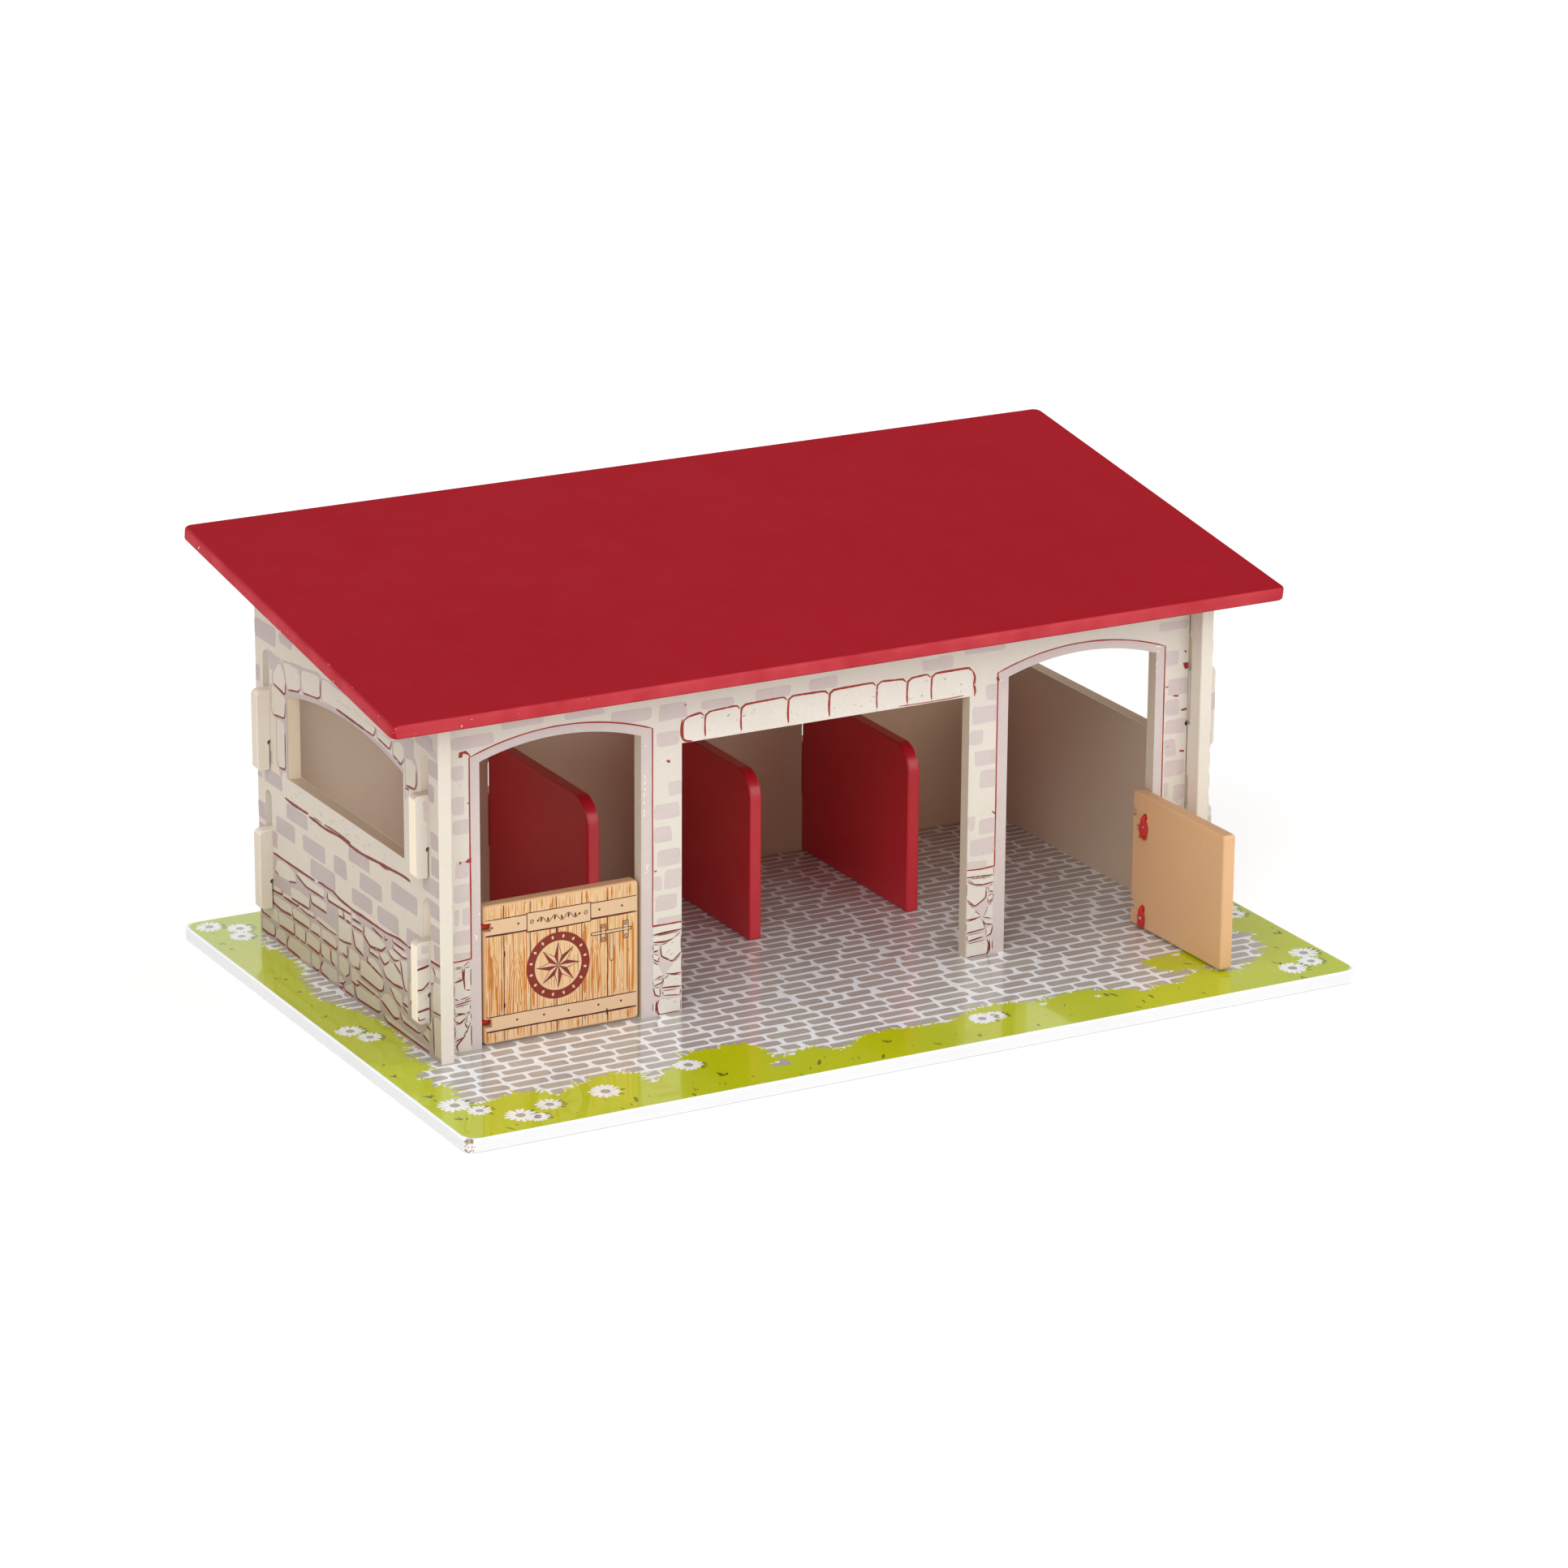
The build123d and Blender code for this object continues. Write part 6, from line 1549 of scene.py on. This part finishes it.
def tube(bm, path, radius, sides, lobes=0, depth=0.0, pitch=4.0, flat=None):
    """Skin along a path.  radius(i, s) in mm; flat(i) gives (normal, limit) where the skin lies on a board."""
    n = len(path)
    t0 = (path[1] - path[0]).normalized()
    e1 = t0.orthogonal().normalized()
    rings, run = [], 0.0
    for i in range(n):
        t = (path[min(i + 1, n - 1)] - path[max(i - 1, 0)]).normalized()
        e1 = (e1 - t * e1.dot(t)).normalized()
        e2 = t.cross(e1)
        if i:
            run += (path[i] - path[i - 1]).length
        r = radius(i, run)
        ring = []
        for k in range(sides):
            a = 2 * math.pi * k / sides
            rr = r * (1.0 - depth + depth * abs(math.cos(lobes * 0.5 * (a - 2 * math.pi * run / pitch))) ** 0.8) if lobes else r
            d = e1 * math.cos(a) * rr + e2 * math.sin(a) * rr
            if flat:
                nb, lim = flat(i)
                if nb is not None and r > lim:
                    d = d - nb * d.dot(nb) * (1.0 - lim / r)
            ring.append(bm.verts.new((path[i] + d) * MM))
        rings.append(ring)
    for a, b in zip(rings, rings[1:]):
        for k in range(sides):
            bm.faces.new((a[k], a[(k + 1) % sides], b[(k + 1) % sides], b[k]))
    bm.faces.new(list(reversed(rings[0])))
    bm.faces.new(rings[-1])


def hinge_cord(side, level, z, seed):
    rng = random.Random(seed)
    s = -1.0 if side == "left" else 1.0
    wall_n = Vector((0.0, 1.0, 0.0))
    door_n = -Vector((*N_DIR[side], 0.0))
    D = lambda u, dz, n: Vector(on_door(side, u, z + dz, n))
    W = lambda x, dz, n: Vector((s * (162.0 + x), -50.5 + n, z + dz))
    tail = 8.2 if level == "upper" else 7.7
    wall_tail = [W(7.0 + rng.uniform(-0.3, 0.3), -tail, 3.95), W(7.0, -5.7, 4.0), W(7.0, -4.2, 3.76), W(7.0, -2.8, 4.05), W(7.0, -1.2, 4.15), W(7.0, -0.15, 3.8), W(7.0, 0.0, 2.6)]
    wall_bore = [W(6.6, 0.0, 1.0), W(5.4, 0.0, 0.1), W(3.0, 0.0, 0.0), W(0.6, 0.0, 0.0)]
    if side == "left":
        gap = [W(-1.6, 0.05, 0.05), W(-3.0, 0.05, 0.0)]
    else:
        gap = [W(-0.9, 0.05, -0.02), W(-2.3, 0.05, -0.25), W(-3.25, 0.03, -0.9)]
    door_bore = [D(4.4, 0.0, 0.0), D(6.2, 0.0, 0.0), D(8.8, 0.0, -0.15), D(10.0, 0.0, -1.0), D(10.3, 0.0, -2.6)]
    lean = rng.uniform(-0.5, 0.2)
    door_tail = [D(10.3, -0.15, -3.8), D(10.3, -1.2, -4.15), D(10.3, -2.8, -4.05), D(10.28, -4.2, -3.76), D(10.25 + lean * 0.5, -5.7, -4.0), D(10.2 + lean, -tail, -3.95)]
    path = smooth3(wall_tail + wall_bore + gap + door_bore + door_tail, 0.32)
    path = [p for i, p in enumerate(path) if i == 0 or (p - path[i - 1]).length > 0.02]
    total = sum((path[i + 1] - path[i]).length for i in range(len(path) - 1))
    spread = 3.05 if level == "upper" else 2.5
    length = [0.0]
    for i in range(1, len(path)):
        length.append(length[-1] + (path[i] - path[i - 1]).length)

    def radius(i, run):
        e = min(run, total - run)
        if e < 3.2:
            r = spread * (0.72 + 0.28 * math.sin(min(1.0, (e + 0.2) / 3.2) * math.pi * 0.5))
        elif e < 8.2:
            t = (e - 3.2) / 5.0
            r = spread + (1.18 - spread) * (t * t * (3 - 2 * t))
        else:
            r = 1.18
        return r

    def flat(i):
        e = min(length[i], total - length[i])
        if e < 8.6:
            # pinched under the tack, fuller above and below it
            pinch = math.exp(-((e - (tail - 4.2)) / 1.1) ** 2)
            return (wall_n if length[i] < total / 2 else door_n), 1.1 - 0.44 * pinch
        return None, 9.0

    bm = bmesh.new()
    tube(bm, path, radius, 18, lobes=3, depth=0.2, pitch=5.2, flat=flat)
    # loose fibres at both frayed ends
    floor_z = 6.55
    for end, board_n, across in ((path[0], wall_n, Vector((s, 0, 0))), (path[-1], door_n, Vector((*U_DIR[side], 0.0)))):
        count = 26 if level == "upper" else 20
        for k in range(count):
            f = (k + 0.5) / count * 2 - 1
            base = end + across * f * spread * 0.72 + board_n * rng.uniform(-0.7, 0.6) + Vector((0, 0, rng.uniform(0.5, 1.6)))
            ln = rng.uniform(1.6, 3.0) if level == "upper" else rng.uniform(1.1, 2.0)
            dx = f * rng.uniform(0.3, 1.1) + rng.uniform(-0.25, 0.25)
            tip = base + Vector((0, 0, -ln)) + across * dx + board_n * rng.uniform(-0.15, 0.25)
            tip.z = max(tip.z, floor_z + rng.uniform(0, 0.3))
            mid = (base + tip) / 2 + across * rng.uniform(-0.25, 0.25)
            q = smooth3([base, mid, tip], 0.5)
            r0 = rng.uniform(0.17, 0.26)
            m = len(q)
            tube(bm, q, lambda i, run, m=m, r0=r0: r0 * (1.0 - 0.55 * i / m), 6)
        # small fluff up the sides of the tail
        for k in range(10 if level == "upper" else 7):
            side_ = rng.choice((-1, 1))
            h = rng.uniform(0.8, 5.0)
            base = end + across * side_ * spread * rng.uniform(0.6, 0.85) + Vector((0, 0, h)) + board_n * rng.uniform(-0.2, 0.5)
            tip = base + across * side_ * rng.uniform(0.5, 1.5) + Vector((0, 0, rng.uniform(-1.5, 0.2)))
            tip.z = max(tip.z, floor_z)
            q = smooth3([base, (base + tip) / 2 + Vector((0, 0, rng.uniform(-0.3, 0.3))), tip], 0.5)
            m = len(q)
            tube(bm, q, lambda i, run, m=m: 0.15 * (1.0 - 0.5 * i / m), 5)
        if level == "upper" and board_n is door_n:
            base = end + across * -1.5 + Vector((0, 0, 3.0))
            q = smooth3([base, base + across * -1.3 + Vector((0, 0, -0.5)), base + across * -2.7 + Vector((0, 0, 0.2)), base + across * -3.3 + Vector((0, 0, 0.6))], 0.5)
            m = len(q)
            tube(bm, q, lambda i, run, m=m: 0.24 * (1.0 - 0.4 * i / m), 6)
    bmesh.ops.recalc_face_normals(bm, faces=bm.faces)
    me = bpy.data.meshes.new(f"{side}_{level}_hinge_cord")
    bm.to_mesh(me)
    bm.free()
    for p in me.polygons:
        p.use_smooth = True
    me.materials.append(cord_mat.m)
    ob = bpy.data.objects.new(f"{side}_{level}_hinge_cord", me)
    scene.collection.objects.link(ob)
    if side == "left":
        end = (s * 0.1574, -0.0505, z * MM)
    else:
        end = (s * 0.1586, -0.0520, z * MM)
    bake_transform(ob)
    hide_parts(f"{side}_{level}_cord_wall_end", f"{side}_{level}_cord_door_end")
    return ob


for k, (side, level, z) in enumerate((("left", "lower", 16.3), ("left", "upper", 58.3), ("right", "lower", 16.3), ("right", "upper", 58.3))):
    hinge_cord(side, level, z, 71 + k)


# ------------------------------------------------------------------ floor and light
floor_me = bpy.data.meshes.new("floor")
floor_me.from_pydata([(-20, -12, -0.0002), (20, -12, -0.0002), (20, 30, -0.0002), (-20, 30, -0.0002)], [], [(0, 1, 2, 3)])
floor = bpy.data.objects.new("floor", floor_me)
scene.collection.objects.link(floor)
fm = Mat("floor_white")
fm.colour(fm.mix(fm.ramp(fm.noise(3.0, 2.0), 0.3, 0.7), lin(212, 212, 212), lin(209, 209, 209)))
fm.p.inputs["Emission Color"].default_value = (1.0, 1.0, 1.0, 1.0)
fm.p.inputs["Emission Strength"].default_value = 0.48
fm.p.inputs["Roughness"].default_value = 0.9
fm.p.inputs["Specular IOR Level"].default_value = 0.1
floor_me.materials.append(fm.m)

world = bpy.data.worlds.new("studio")
scene.world = world
world.use_nodes = True
wt = world.node_tree
# the backdrop itself is seen white, its light on the object is dimmer
see = wt.nodes.new("ShaderNodeBackground")
see.inputs[0].default_value = (1.0, 1.0, 1.0, 1.0)
see.inputs[1].default_value = 1.0
rays = wt.nodes.new("ShaderNodeLightPath")
gleam = wt.nodes.new("ShaderNodeMath")
gleam.operation = "MULTIPLY_ADD"
gleam.inputs[1].default_value = 0.25
gleam.use_clamp = True
wt.links.new(rays.outputs["Is Glossy Ray"], gleam.inputs[0])
wt.links.new(rays.outputs["Is Camera Ray"], gleam.inputs[2])
both = wt.nodes.new("ShaderNodeMixShader")
wt.links.new(gleam.outputs[0], both.inputs[0])
wt.links.new(wt.nodes["Background"].outputs[0], both.inputs[1])
wt.links.new(see.outputs[0], both.inputs[2])
wt.links.new(both.outputs[0], wt.nodes["World Output"].inputs["Surface"])
world.node_tree.nodes["Background"].inputs[0].default_value = (1.0, 1.0, 1.0, 1.0)
world.node_tree.nodes["Background"].inputs[1].default_value = 0.18


def sun(name, direction, strength, angle, colour=(1, 1, 1)):
    d = bpy.data.lights.new(name, "SUN")
    d.energy = strength
    d.angle = math.radians(angle)
    d.color = colour
    o = bpy.data.objects.new(name, d)
    scene.collection.objects.link(o)
    o.rotation_euler = Vector(direction).to_track_quat("-Z", "Y").to_euler()
    return o


sun("key_softbox_front", (-0.35, 0.87, -0.36), 0.85, 40)
sun("key_softbox_high", (0.35, 0.60, -0.72), 0.55, 40)
sun("left_softbox", (0.75, 0.25, -0.60), 1.05, 50)
sun("left_low_fill", (0.72, 0.65, -0.22), 0.55, 50)
sun("right_softbox", (-0.90, 0.25, -0.40), 1.35, 60)
sun("top_softbox", (0.10, 0.10, -1.0), 0.40, 70)
sun("back_fill", (0.0, -0.90, -0.42), 0.5, 60)
scene.view_settings.view_transform = "Standard"
scene.view_settings.look = "None"
scene.view_settings.exposure = 0.0

# ------------------------------------------------------------------ update the view layer
bpy.context.view_layer.update()
